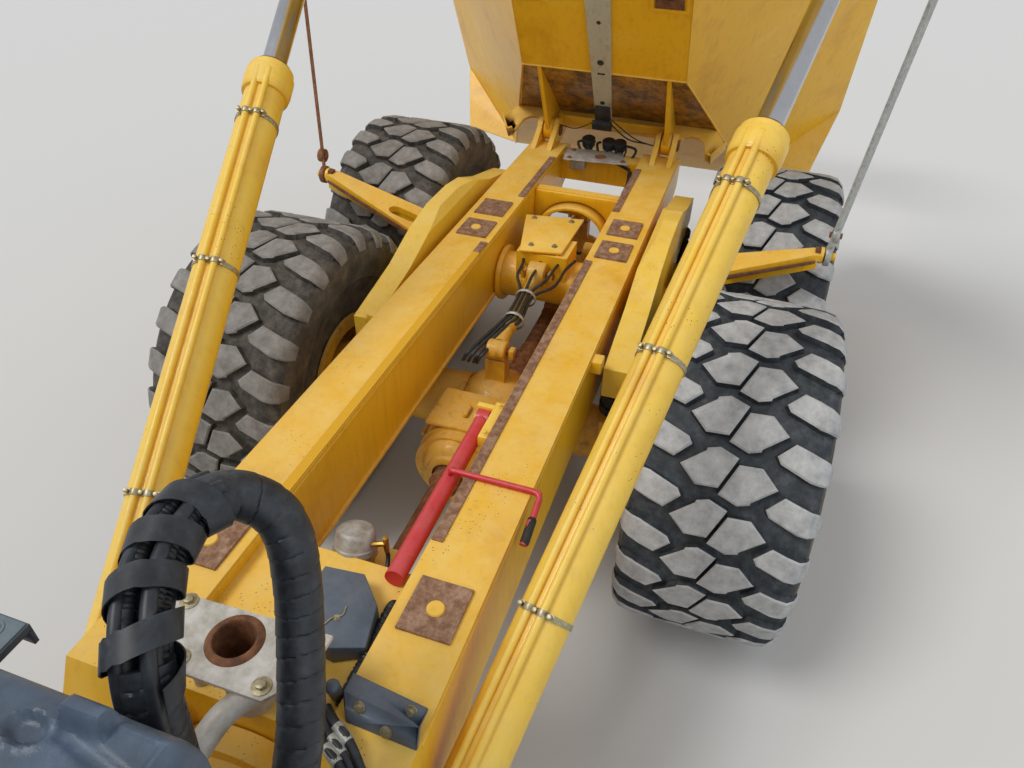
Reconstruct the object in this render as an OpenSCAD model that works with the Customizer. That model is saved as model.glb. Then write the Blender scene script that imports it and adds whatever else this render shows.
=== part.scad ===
// Articulated dump truck on three axles, parked with its load body raised. Millimetres.
// X points forward, Y to the left and Z up. Lengths along X are measured from the middle axle,
// and place() moves them so that the origin lies on the ground under the middle of the truck's box.

/* [Wheels] */
// Tyre diameter over the lugs
tyre_d = 1890; // [1800:10:1940]
// Tyre width
tyre_w = 890; // [780:5:900]
// Distance between left and right tyre centres
track = 2737; // [2720:1:2760]
// Rim diameter
rim_d = 740; // [660:10:800]

/* [Chassis] */
// Gap between the middle and the rear tyre
bogie_gap = 50; // [40:5:110]
// Middle axle to front axle
front_base = 4518; // [4500:2:4600]
// Middle axle to steering pin
steer_x = 3270; // [3250:5:3300]
// Height of the rail tops
rail_top = 1670; // [1650:5:1675]
// Width of one rail
rail_w = 290; // [250:5:300]
// Gap between the rails
rail_gap = 630; // [610:5:660]
// Depth of the rails
rail_h = 430; // [380:5:460]
// Front end of the rail tops
rail_front = 2500; // [2460:5:2520]
// Height of the hitch
hitch_z = 1180; // [1160:5:1200]

/* [Load body] */
// Body hinge behind the middle axle
hinge_back = 2640; // [2620:5:2680]
// Height of the body hinge
hinge_z = 1756; // [1750:1:1770]
// Raise of the body, as parked
raise = 60; // [55:1:60]
// Hinge to front end of the floor
body_front = 4700; // [4650:10:4720]
// Hinge to rear lip
body_back = 1020; // [960:10:1030]
// Half width over the sides
body_half = 1810; // [1780:5:1820]
// Half width of the flat floor
floor_half = 605; // [580:5:640]
// Height of the side walls over the hinge
body_top = 1520; // [1480:5:1560]
// Plate thickness of floor and walls
plate = 20; // [14:1:24]

/* [Hoist cylinders] */
// Barrel radius
hoist_r = 98; // [85:1:104]
// Rod radius
hoist_rod_r = 60; // [50:1:66]
// Barrel length, pin to gland
hoist_barrel = 3087; // [3000:1:3100]

/* [Cab and hood] */
// Rear wall of the cab
cab_back = 3900; // [3880:5:3930]
// Length of the cab
cab_len = 1500; // [1460:5:1540]
// Half width of the cab
cab_half = 780; // [750:5:800]
// Height of the cab roof
cab_top = 3600; // [3540:10:3650]
// Height of the cab floor
cab_floor_z = 2000; // [1990:5:2010]
// Length of the hood
hood_len = 2010; // [1950:10:2030]
// Height of the hood at the cab
hood_top = 2800; // [2700:10:2850]
// Half width of the front deck
deck_half = 1740; // [1700:10:1760]

/* [Hidden] */
$fn = 48;

seat_gap = 0.3;
run_gap = 0.3;
swing_gap = 6;
tyre_r = tyre_d / 2;
bogie_base = tyre_d + bogie_gap;
axle_z = tyre_r;
wheel_y = track / 2;
rear_x = -bogie_base;
bogie_x = -bogie_base / 2;
rail_in = rail_gap / 2;
rail_out = rail_in + rail_w;
rail_mid = (rail_in + rail_out) / 2;
rail_low = rail_top - rail_h;
hinge_x = -hinge_back;
yellow = "#e8b21a";
pale_yellow = "#efc54a";
blue_grey = "#3b4450";
black = "#26282b";
steel = "#b9b6ae";
red = "#c8242b";
clear = [0.35, 0.45, 0.5, 0.4];

module ycyl(r, l) rotate([90, 0, 0]) cylinder(h = l, r = r, center = true);
module xcyl(r, l) rotate([0, 90, 0]) cylinder(h = l, r = r, center = true);
module profile_y(pts, w) rotate([90, 0, 0]) linear_extrude(w, center = true) polygon(pts);
module profile_x(pts, l) rotate([90, 0, 90]) linear_extrude(l, center = true) polygon(pts);
module both() { children(); mirror([0, 1, 0]) children(); }
module on_side(side) mirror([0, side > 0 ? 0 : 1, 0]) children();
module place() translate([-origin_x, 0, 0]) children();
function unit(v) = v / norm(v);

// Turns the Z axis to the direction d
module aim(d) {
    u = unit(d);
    rotate([0, acos(u[2]), atan2(u[1], u[0])]) children();
}

module bar(a, b, r) translate(a) aim(b - a) cylinder(h = norm(b - a), r = r);

// Solid between sections that all have as many points. The strips that start at the points in
// turned are split along their other diagonal.
module loft(secs, turned = []) {
    n = len(secs[0]);
    m = len(secs);
    polyhedron(
        points = [for (s = secs) each s],
        faces = concat(
            [[for (i = [0:n - 1]) i]],
            [for (k = [0:m - 2], i = [0:n - 1])
                let (a = k * n + i, b = a + n, c = k * n + (i + 1) % n, d = c + n)
                    each len([for (t = turned) if (t == i) t]) > 0
                        ? [[a, b, d], [a, d, c]]
                        : [[a, b, c], [c, b, d]]],
            [[for (i = [n - 1:-1:0]) (m - 1) * n + i]]
        ));
}

// Wheels

spindle_r = 110;
hub_in = 60;
hub_out = 265;
drum_r = 215;
rim_half = 0.40 * tyre_w;
rim_wall = 38;

// Columns: share of the way from bead to tread, share of half the width
tyre_profile = [
    [0, 0.76], [0.25, 0.80], [0.50, 0.93], [0.72, 1], [0.86, 0.99], [0.925, 0.88], [0.925, 0.5]
];

// Lugs of half the tread; the other half is the same turned round. Columns: across the tread,
// and along it from the lug's own middle.
lug_pitches = 24;
lug_base = 55;
centre_lug_at = -96;
centre_lug = [[36, -90], [138, -97], [221, -16], [118, 67], [61, 97], [-29, 63]];
shoulder_lug = [[257, -87], [387, -48], [405, 56], [388, 76], [346, 71], [206, 18], [186, -15]];

// Flat-topped lug whose furthest corners lie on the tyre's diameter
module lug(outline, at) {
    reach = max([for (p = outline) abs(p[1])]);
    top = sqrt(tyre_r * tyre_r - reach * reach);
    rotate([0, at / tyre_r * 180 / PI, 0]) translate([0, 0, top - lug_base])
        linear_extrude(lug_base) polygon([for (p = outline) [p[1], p[0]]]);
}

module tyre(x, side) {
    bead = rim_d / 2 + seat_gap;
    outer = [for (p = tyre_profile) [bead + (tyre_r - bead) * p[0], p[1] * tyre_w / 2]];
    inner = [for (i = [len(outer) - 1:-1:0]) [outer[i][0], -outer[i][1]]];
    color("#4a4b4c") place() translate([x, side * wheel_y, axle_z]) {
        rotate([-90, 0, 0]) rotate_extrude($fn = 72) polygon(concat(outer, inner));
        for (k = [0:lug_pitches - 1]) rotate([0, 360 / lug_pitches * k, 0])
            for (turn = [0, 180]) rotate([0, 0, turn]) {
                lug(centre_lug, centre_lug_at);
                lug(shoulder_lug, 0);
            }
    }
}

module rim(x, side) {
    r = rim_d / 2;
    flange = r + 42;
    bore = spindle_r + run_gap;
    color(yellow) place() on_side(side) translate([x, wheel_y, axle_z])
        rotate([-90, 0, 0]) rotate_extrude($fn = 72) polygon([
            [0, hub_out], [0, hub_out - 60], [bore, hub_out - 60], [bore, -hub_in],
            [bore + 90, -hub_in], [bore + 130, 60], [r - 70, 60], [r - rim_wall, 90],
            [r - rim_wall, -rim_half - 24], [flange, -rim_half - 24], [flange, -rim_half],
            [r, -rim_half], [r, rim_half], [flange, rim_half], [flange, rim_half + 24],
            [r - rim_wall, rim_half + 24], [r - rim_wall, 150], [r - 70, 120],
            [bore + 150, 120], [bore + 130, hub_out - 50], [bore + 80, hub_out]
        ]);
}

// Axles

beam_in = 660;
beam_out = 800;
beam_mid = (beam_in + beam_out) / 2;
beam_foot = 1380;
spring_seat = axle_z + 210;
banjo_r = 255;
nose_len = 380;

module axle_body(seats) {
    arm = wheel_y - 365;
    both() translate([0, 180, 0]) rotate([-90, 0, 0]) cylinder(h = arm - 180, r1 = 190, r2 = 130);
    both() translate([0, arm, 0]) rotate([-90, 0, 0]) cylinder(h = 210, r = drum_r);
    both() translate([0, wheel_y - 170, 0]) rotate([-90, 0, 0]) cylinder(h = 350, r = spindle_r);
    sphere(r = banjo_r);
    rotate([0, 90, 0]) cylinder(h = nose_len, r1 = 200, r2 = 120);
    if (seats) both() translate([-150, beam_in, 0]) cube([300, beam_out - beam_in, 210]);
}

module bogie_axles() {
    color(yellow) place() for (x = [0, rear_x]) translate([x, 0, axle_z]) {
        axle_body(true);
        // Upper bracket for the control rod
        translate([-45, -60, 200]) cube([90, 120, 190]);
    }
    // Drop box ahead of the middle axle
    color(yellow) place() translate([nose_len + 150, 0, axle_z + 90]) {
        xcyl(230, 300);
        translate([150, 0, 40]) xcyl(120, 120);
    }
}

module rubber_springs() {
    h = (beam_foot - spring_seat - 2 * seat_gap) / 5;
    color(black) place() both() for (x = [0, rear_x])
        translate([x, beam_mid, spring_seat + seat_gap])
            for (k = [0:4]) translate([0, 0, k * h]) cylinder(h = h, r = k % 2 == 0 ? 105 : 92);
}

// Rear frame

hinge_y = 484;
hinge_pin_r = 45;
hinge_eye = 80;
ear_t = 40;
ear_gap = hinge_eye + 2 * swing_gap;
tube_z = 1330;
tube_r = 150;
trunnion_r = 90;
bearing_r = 210;
bearing_back = 1780;
bearing_in = 1940;
box_top = 1606;
ledge_top = 1480;
prop_r = 38;
prop_pin_r = 18;
prop_pin = [830, 225, 1590];
hoist_pin = [2590, 668, 1165];
hoist_ball = 75;
hoist_socket = 76;
hoist_eye_w = 76;
pin_r = 45;
nose_x = 2690;
tow = [hinge_x - 135, 1130];
tow_r = 32;

module rail() {
    translate([0, rail_mid, 0]) profile_y([
        [rail_front, rail_top], [hinge_x + 60, rail_top], [hinge_x - 60, rail_top - 40],
        [hinge_x - 60, rail_top - 260], [hinge_x + 420, rail_low],
        [rail_front - 560, rail_low], [rail_front - 160, 1010], [nose_x, 1010], [nose_x, 1330]
    ], rail_w);
}

module hinge_ears() {
    both() for (s = [-1, 1])
        translate([hinge_x, hinge_y + s * (ear_gap + ear_t) / 2, 0]) {
            translate([0, 0, hinge_z]) ycyl(95, ear_t);
            translate([0, 0, rail_top - 20]) profile_y([
                [-95, 0], [260, 0], [260, 20], [80, hinge_z - rail_top + 60],
                [-95, hinge_z - rail_top + 20]
            ], ear_t);
        }
}

// Ball pins of the hoist cylinders, bolted to the rails
module hoist_pins() color(yellow) place() both() difference() {
    union() {
        translate([hoist_pin[0], rail_out - 10, hoist_pin[2]]) rotate([-90, 0, 0]) {
            cylinder(h = 18, r = 120);
            cylinder(h = hoist_pin[1] - rail_out + 90, r = pin_r);
        }
        translate(hoist_pin) sphere(r = hoist_ball);
        // Keeper plate over the pin's end
        translate([hoist_pin[0], hoist_pin[1] + 72, hoist_pin[2]])
            rotate([-90, 0, 0]) cylinder(h = 12, r = 62);
    }
    // Flat seat on the rail
    translate([hoist_pin[0] - 150, rail_out - 100, hoist_pin[2] - 150]) cube([300, 100 + seat_gap, 300]);
}

module rear_frame() {
    color(yellow) place() difference() {
        union() {
            both() rail();
            hinge_ears();
            // Cross tube and the trunnions of the walking beams
            translate([bogie_x, 0, tube_z]) ycyl(tube_r, 2 * rail_in + 4);
            translate([bogie_x, 0, tube_z]) ycyl(trunnion_r, 2 * (beam_out + 70));
            both() translate([bogie_x, rail_out, tube_z]) rotate([-90, 0, 0]) cylinder(h = 50, r = 160);
            // Bracket on the cross tube
            translate([bogie_x - 130, -170, tube_z + 60]) cube([260, 340, 190]);
            // Front box round the hitch bearing
            translate([bearing_back, -rail_in - 2, 930]) cube([2440 - bearing_back, 2 * rail_in + 4, box_top - 930]);
            // Ledge of the canister
            translate([bearing_back - 180, -20, ledge_top - 40]) cube([182, 200, 40]);
            // Pin of the body prop
            translate([prop_pin[0], prop_pin[1] - 45, prop_pin[2]]) rotate([-90, 0, 0])
                cylinder(h = rail_in - prop_pin[1] + 50, r = prop_pin_r);
            // Rear cross members
            translate([-1790, -rail_in - 2, rail_low + 230]) cube([70, 2 * rail_in + 4, 170]);
            translate([hinge_x + 60, -rail_in - 2, rail_top - 230]) cube([150, 2 * rail_in + 4, 200]);
            // Tail brackets
            both() translate([hinge_x - 40, rail_mid, 1250]) profile_y([
                [0, 190], [-20, 190], [-160, -60], [-160, -190], [-40, -190], [120, 0], [240, 140]
            ], 120);
        }
        both() translate([hinge_x, hinge_y, hinge_z]) ycyl(hinge_pin_r + run_gap, 300);
        translate([bearing_in + 230, 0, hitch_z]) xcyl(bearing_r + run_gap, 560);
        // Towing bores
        both() translate([tow[0], rail_mid, tow[1]]) ycyl(tow_r, 200);
    }
}

pad_x = [1935, -875, -1205];

module wear_plates() {
    color("#6e4530") place() both() {
        for (x = pad_x) translate([x - 115, rail_mid - 100, rail_top + seat_gap]) cube([230, 200, 12]);
        for (s = [[-2250, 800], [-700, 2350]])
            translate([s[0], rail_in + 4, rail_top + seat_gap]) cube([s[1], 46, 8]);
    }
}

arm_tip = [-1125, 1690, 1756];
arm_root = beam_out + 62;

module outrigger_arms() {
    color(yellow) place() both() {
        difference() {
            union() {
                // Sloped flange, narrower towards its tip
                intersection() {
                    translate([bogie_x, 0, 0]) profile_x([
                        [arm_root, 1560], [arm_tip[1] - 60, arm_tip[2] + 20], [arm_tip[1], arm_tip[2] + 20],
                        [arm_tip[1], arm_tip[2] - 20], [arm_tip[1] - 50, arm_tip[2] - 20], [arm_root, 1515]
                    ], 600);
                    translate([0, 0, 1400]) linear_extrude(500) polygon([
                        [-1180, arm_root], [-840, arm_root], [arm_tip[0] + 45, arm_tip[1]],
                        [arm_tip[0] - 45, arm_tip[1]]
                    ]);
                }
                // Web under the flange
                translate([-1080, 0, 0]) profile_x([
                    [arm_root, 1380], [arm_root, 1530], [arm_tip[1] - 30, arm_tip[2] - 10],
                    [arm_tip[1] - 30, arm_tip[2] - 70], [arm_root + 120, 1400]
                ], 24);
                translate([bogie_x, arm_root, tube_z]) rotate([-90, 0, 0]) cylinder(h = 24, r = 175);
                translate([-1150, arm_root, tube_z + 60]) cube([300, 24, 180]);
                // Pin that carries the link bar
                translate([arm_tip[0], arm_tip[1] - 20, arm_tip[2]]) rotate([-90, 0, 0]) cylinder(h = 90, r = 24);
                translate([arm_tip[0], arm_tip[1] - 20, arm_tip[2]]) rotate([-90, 0, 0]) cylinder(h = 20, r = 50);
            }
            translate([bogie_x, arm_root - 10, tube_z]) rotate([-90, 0, 0])
                cylinder(h = 60, r = trunnion_r + seat_gap);
            // Lightening hole
            translate([-1010, arm_root + 130, 1400]) cylinder(h = 500, r = 55);
            translate([-1065, arm_root + 130, 1400]) cube([110, 110, 500]);
            translate([-1010, arm_root + 240, 1400]) cylinder(h = 500, r = 55);
        }
    }
}

module walking_beams() {
    end = bogie_base / 2 + 200;
    color(pale_yellow) place() both() translate([bogie_x, beam_mid, 0]) difference() {
        profile_y([
            [-end, beam_foot], [-end, 1560], [-700, 1670], [-420, 1770], [-200, 1800],
            [120, 1800], [400, 1750], [700, 1650], [end, 1560], [end, beam_foot],
            [end - 400, beam_foot], [480, 1330], [240, 1150], [-240, 1150], [-480, 1330],
            [400 - end, beam_foot]
        ], beam_out - beam_in);
        translate([0, 0, tube_z]) ycyl(trunnion_r + seat_gap, 300);
        // Bevel that clears the sides of the lowered body
        profile_x([[-90, 1727], [30, 1866], [30, 1900], [-90, 1900]], 2 * end);
    }
}

module control_rods() {
    rod_z = axle_z + 440;
    color(yellow) place() for (e = [1, -1]) {
        a = [e > 0 ? 0 : rear_x, 0, rod_z];
        b = [bogie_x + e * 205, 0, tube_z + 150];
        bar(a, b, 36);
        translate(a) ycyl(50 - seat_gap, 110);
        translate(b) ycyl(75 - seat_gap, 110);
    }
}

shaft_z = axle_z + 130;

module rear_shafts() {
    color("#6b4a32") place() {
        bar([nose_len + 360 + seat_gap, 0, shaft_z], [bearing_back - seat_gap, 0, shaft_z], 58);
        bar([-banjo_r - seat_gap, 0, axle_z], [rear_x + nose_len + seat_gap, 0, axle_z], 58);
    }
}

module outlet_plate() {
    color(steel) place() difference() {
        union() {
            translate([0, 0, 1900]) linear_extrude(14) polygon([
                [2300, -240], [2280, 285], [2420, 285], [2530, 200], [2530, -110], [2420, -240]
            ]);
            for (y = [-170, 215]) translate([2400, y, box_top + seat_gap]) cylinder(h = 300, r = 24);
            translate([2390, 20, box_top + seat_gap]) cylinder(h = 300, r = 74);
        }
        translate([2390, 20, 1600]) cylinder(h = 400, r = 62);
    }
}

module canister() {
    color("#9a958a") place() translate([bearing_back - 92, 80, ledge_top + seat_gap]) {
        cylinder(h = 50, r = 80);
        translate([0, 0, 50]) cylinder(h = 60, r = 66);
        translate([0, 0, 110]) cylinder(h = 98, r = 82);
    }
    color(blue_grey) place() translate([2070, 140, box_top + seat_gap]) profile_y([
        [-130, 0], [130, 0], [130, 40], [60, 84], [-110, 84], [-130, 70]
    ], 230);
}

// Hitch

hose_foot = [2745, 340, 1545 - seat_gap];
steer_pin_r = 60;
knuckle_r = 160;
knuckle_h = 420;
lug_x = 2970;
lug_y = 480;
steer_rod_len = 1060;
cyl_pin_r = 28;
eye_h = 100;

module hitch() {
    color(yellow) place() difference() {
        union() {
            translate([bearing_in, 0, hitch_z]) rotate([0, 90, 0]) cylinder(h = 560, r = bearing_r);
            translate([2440 + swing_gap, 0, hitch_z]) rotate([0, 90, 0]) cylinder(h = 90, r = 300);
            translate([2520, 0, hitch_z]) rotate([0, 90, 0])
                cylinder(h = steer_x - 2520 - 60, r1 = 250, r2 = 150);
            // Arm that the hose bundle comes down on
            translate([hose_foot[0], 0, 0]) profile_x([
                [0, 1300], [160, 1300], [hose_foot[1] + 70, hose_foot[2] - 60], [hose_foot[1] + 70, hose_foot[2]],
                [0, hose_foot[2]]
            ], 80);
            translate([steer_x, 0, hitch_z]) cylinder(h = knuckle_h, r = knuckle_r, center = true);
            // Arms and ears for the steering cylinders
            both() translate([lug_x - 60, 100, hitch_z - 90]) cube([100, lug_y - 180, 180]);
            both() for (z = [eye_h / 2 + 1, -eye_h / 2 - 41]) {
                translate([lug_x, lug_y, hitch_z + z]) cylinder(h = 40, r = 62);
                translate([lug_x - 60, lug_y - 100, hitch_z + z]) cube([120, 100, 40]);
            }
            both() translate([lug_x, lug_y, hitch_z]) cylinder(h = eye_h + 60, r = cyl_pin_r, center = true);
        }
        translate([steer_x, 0, hitch_z]) cylinder(h = 600, r = steer_pin_r + run_gap, center = true);
    }
}

// Route of the hose bundle, from the front unit over to the hitch
hose_route = [
    [2840, 220, 1950], [2840, 220, 2080], [2834, 228, 2220], [2824, 234, 2370], [2800, 225, 2480],
    [2740, 190, 2545], [2650, 145, 2575], [2550, 120, 2590], [2450, 120, 2588], [2370, 160, 2560],
    [2335, 225, 2500], [2345, 270, 2420], [2390, 300, 2300], [2440, 320, 2200], [2510, 350, 2110],
    [2590, 378, 2000], [2660, 380, 1870], [2718, 362, 1750], [2745, 340, 1650], [2745, 340, 1545]
];
hose_r = 62;

module tube_along(pts, r, sides) {
    n = len(pts);
    function dir(i) = unit(pts[min(i + 1, n - 1)] - pts[max(i - 1, 0)]);
    loft([for (i = [0:n - 1])
        let (d = dir(i), u = unit(cross(d, [1, 0.2, 0])), v = cross(d, u))
            [for (k = [0:sides - 1]) let (a = 360 * k / sides)
                pts[i] + r * (cos(a) * u + sin(a) * v)]]);
}

module hose_bundle() color(black) place() tube_along(hose_route, hose_r, 12);

// Load body, drawn lowered with its hinge at the origin, and then raised

module on_body() place() translate([hinge_x, 0, hinge_z]) rotate([0, -raise, 0]) children();

floor_z = -55;
fold_z = 1340;
chute_x = 730;
lip_half = 1120;
lip_z = 640;
wall_lean = 450;
body_slope = (fold_z - floor_z) / (body_half - floor_half);

function between(a, b, share) = a + share * (b - a);
function chute_at(share) = between(chute_x, -body_back, share);

// Columns: station, half width of the floor, its height, half width at the fold, height of the
// fold, half width at the top, height of the top, how far the top leans forward
body_sections = [
    [body_front, floor_half, floor_z, body_half, fold_z, body_half, body_top, wall_lean],
    [chute_x, floor_half, floor_z, body_half, fold_z, body_half, body_top, 0],
    [chute_at(0.85), between(floor_half, lip_half, 0.85), between(floor_z, lip_z, 0.85), body_half, fold_z,
        body_half, body_top, -76],
    [-body_back, lip_half, lip_z, 1660, 770, body_half, body_top, -90]
];

function lean(s, z) = s[0] + s[7] * (z - s[2]) / (s[6] - s[2]);

function side_section(s) =
    let (k = (s[4] - s[2]) / (s[3] - s[1]), t = plate * sqrt(1 + k * k), f = s[4] - plate * 0.6)
    [
        [s[0], s[1], s[2]], [lean(s, s[4]), s[3], s[4]], [lean(s, s[6]), s[5], s[6]],
        [lean(s, s[6]), s[5] - plate, s[6]], [lean(s, s[4]), s[3] - plate, s[4] + t - plate * k],
        [lean(s, s[2] + t), s[1], s[2] + t]
    ];

module body_floor() {
    color(yellow) on_body() loft([for (s = body_sections)
        let (w = s[1] - 3 * seat_gap)
            [[s[0], -w, s[2]], [s[0], w, s[2]], [s[0], w, s[2] + plate], [s[0], -w, s[2] + plate]]]);
}

module body_sides() {
    color(yellow) on_body() both() loft([for (s = body_sections) side_section(s)], [3, 4]);
}

module body_front_wall() {
    h = body_top - floor_z;
    tilt = atan2(wall_lean, h);
    long = h / cos(tilt);
    k = long / h;
    color(yellow) on_body() {
        translate([body_front + seat_gap, 0, floor_z]) rotate([0, tilt, 0])
            rotate([90, 0, 90]) linear_extrude(plate) polygon([
                [-floor_half, 0], [floor_half, 0], [body_half, (fold_z - floor_z) * k], [body_half, long],
                [-body_half, long], [-body_half, (fold_z - floor_z) * k]
            ]);
        // Spill guard over the wall
        translate([body_front + seat_gap + wall_lean, 0, body_top]) profile_y([
            [0, -90], [20, -90], [60, 60], [390, 380], [375, 395], [40, 75], [0, 0]
        ], 2 * body_half - 500);
    }
}

module body_underframe() {
    chute_rise = (lip_z - floor_z) / (body_back + chute_x);
    function skin_y(z) = floor_half + (z - floor_z) / body_slope + 1.3 * seat_gap;
    function under(x) = floor_z + (chute_x - x) * chute_rise - 1.2 * seat_gap;
    color(yellow) on_body() {
        // Hinge eyes under the chute
        both() translate([0, hinge_y, 0]) difference() {
            union() {
                ycyl(82, hinge_eye);
                profile_y([[-60, -54], [55, -60], [chute_x - 20, under(chute_x - 20)],
                           [-380, under(-380)], [-330, 200]], hinge_eye);
            }
            ycyl(hinge_pin_r - 0.01, hinge_eye + 10);
        }
        // Cross member between them
        translate([-60, 0, 0]) profile_y([[-110, 100], [110, 100], [110, under(50)], [-110, under(-170)]],
            2 * (hinge_y - hinge_eye / 2) + 2);
        // Pads that come down on the rails
        both() for (x = pad_x) translate([x - hinge_x - 110, rail_mid - 95, rail_top + 13 - hinge_z])
            cube([220, 190, hinge_z - rail_top - 13 + floor_z - seat_gap]);
        // Brackets of the hoist rods
        both() translate([2371, 0, 0]) profile_x([
            [skin_y(560), 560], [1530, 760], [1555, 790], [1555, 935], [skin_y(980), 980]
        ], 180);
        // Pivots of the tailgate
        both() translate([gate_pivot[0], body_half + seat_gap, gate_pivot[1]]) rotate([-90, 0, 0]) {
            cylinder(h = gate_arm_in - body_half - swing_gap, r = 80);
            cylinder(h = gate_arm_in - body_half + gate_arm_t + 30, r = gate_pin_r);
            translate([0, 0, gate_arm_in - body_half + gate_arm_t + swing_gap]) cylinder(h = 16, r = 60);
        }
    }
    color(steel) on_body() both() translate([0, hinge_y, 0]) ycyl(hinge_pin_r, ear_gap + 2 * ear_t + 24);
}

gate_pivot = [1440, 1444];
gate_arm_in = body_half + 50;
gate_arm_t = 40;
gate_pin_r = 34;
gate_back = [-2660, 30];
gate_lever = [1560, 290];
gate_open = 62;

module tailgate() {
    color(yellow) on_body() translate([gate_pivot[0], 0, gate_pivot[1]]) rotate([0, gate_open, 0]) {
        both() translate([0, gate_arm_in + gate_arm_t / 2, 0]) difference() {
            profile_y([
                [gate_lever[0] + 60, gate_lever[1] - 60], [gate_lever[0] + 60, gate_lever[1] + 60],
                [gate_lever[0] - 60, gate_lever[1] + 70], [0, 120], [-2600, 90], gate_back, [-2520, -880],
                [-2460, -880], [-2480, -120], [-300, -130], [0, -110]
            ], gate_arm_t);
            ycyl(gate_pin_r + run_gap, 100);
        }
        // Boss that the link bar lies over
        both() translate([gate_lever[0], gate_arm_in + gate_arm_t - 1, gate_lever[1]]) rotate([-90, 0, 0])
            cylinder(h = 37, r = 66);
        profile_y([[-2528, -880], [-2658, 30], [-2618, 30], [-2488, -880]], 2 * gate_arm_in + 4);
    }
}

// Link bars of the tailgate

link_lean = [-0.506, 0.27, 2.2];
link_len = 2273;
link_y = arm_tip[1] + 12;

module tail_link(side) {
    color("#9b9b93") place() on_side(side) difference() {
        union() {
            translate([arm_tip[0], link_y + 12, arm_tip[2]]) {
                ycyl(58, 24);
                aim(link_lean) translate([-40, -9, 20]) cube([80, 18, link_len]);
            }
            translate([arm_tip[0] - 506, link_y + 268, arm_tip[2] + 2200]) ycyl(58, 60);
        }
        translate([arm_tip[0], link_y + 12, arm_tip[2]]) ycyl(24 + run_gap, 60);
    }
}

// Prop that holds the body up in the workshop

prop_tip = [1850, 258, box_top + prop_r + 7];

module body_prop() {
    grip = [1510, rail_out + 38, 1610];
    over = [1290, rail_out + 38, rail_top + 18];
    color(red) place() {
        difference() {
            union() {
                translate(prop_pin) ycyl(46, 60);
                bar(prop_pin, prop_tip, prop_r);
            }
            translate(prop_pin) ycyl(prop_pin_r + run_gap, 80);
        }
        // Handle across the rail
        bar([1290, 245, rail_top - 20], [1290, 250, rail_top + 18], 9);
        bar([1290, 248, rail_top + 18], over, 9);
        bar(over, grip, 9);
        bar(over + 0.55 * (grip - over), grip, 16);
    }
}

// Hoist cylinders

hoist_eye = [-2209, 1656, 4245];
hoist_span = norm(hoist_eye - hoist_pin);

module along_hoist(side) place() on_side(side) translate(hoist_pin)
    aim(hoist_eye - hoist_pin) children();

module hoist_barrel_at(side) {
    color(pale_yellow) {
        along_hoist(side) difference() {
            union() {
                translate([0, 0, 240]) cylinder(h = hoist_barrel - 240, r = hoist_r);
                translate([0, 0, hoist_barrel - 150]) cylinder(h = 110, r = hoist_r + 16);
                translate([0, 0, 165]) cylinder(h = 80, r = 80);
                translate([-75, -36, 70]) cube([150, 72, 100]);
            }
            translate([0, 0, 180]) cylinder(h = hoist_barrel, r = hoist_rod_r + run_gap);
            sphere(r = hoist_socket);
        }
        place() on_side(side) translate(hoist_pin) difference() {
            ycyl(108, hoist_eye_w);
            sphere(r = hoist_socket);
        }
    }
}

module hoist_rod_at(side) {
    color("silver") {
        along_hoist(side) translate([0, 0, hoist_span - 3170]) cylinder(h = 3100, r = hoist_rod_r);
        place() on_side(side) translate(hoist_eye) {
            ycyl(90, 100);
            ycyl(42, 112);
        }
    }
}

// Steering cylinders

module along_steer(side) place() on_side(side) translate([lug_x, lug_y, hitch_z])
    rotate([0, 90, 0]) children();

module steer_barrel_at(side) {
    color(yellow) along_steer(side) difference() {
        union() {
            rotate([0, 90, 0]) cylinder(h = eye_h, r = 56, center = true);
            translate([0, 0, 30]) cylinder(h = 102, r = 32);
            translate([0, 0, 130]) cylinder(h = 478, r = 56);
        }
        rotate([0, 90, 0]) cylinder(h = 200, r = cyl_pin_r + run_gap, center = true);
        translate([0, 0, 142]) cylinder(h = 600, r = 34 + run_gap);
    }
}

module steer_rod_at(side) {
    color("silver") along_steer(side) {
        translate([0, 0, 545]) cylinder(h = steer_rod_len - 575, r = 34);
        translate([0, 0, steer_rod_len]) rotate([0, 90, 0]) cylinder(h = 118, r = 52, center = true);
    }
}

// Front unit

hood_back = cab_back + cab_len + 40;
hood_pin = [hood_back + hood_len - 10, 1640];
engine_back = hood_back + 40;
front_in = 330;
front_out = 460;
front_low = 1290;
nose_end = hood_pin[0] + 88;
member_top = 1480;
hood_pin_r = 20;
ear_h = 75;

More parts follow.
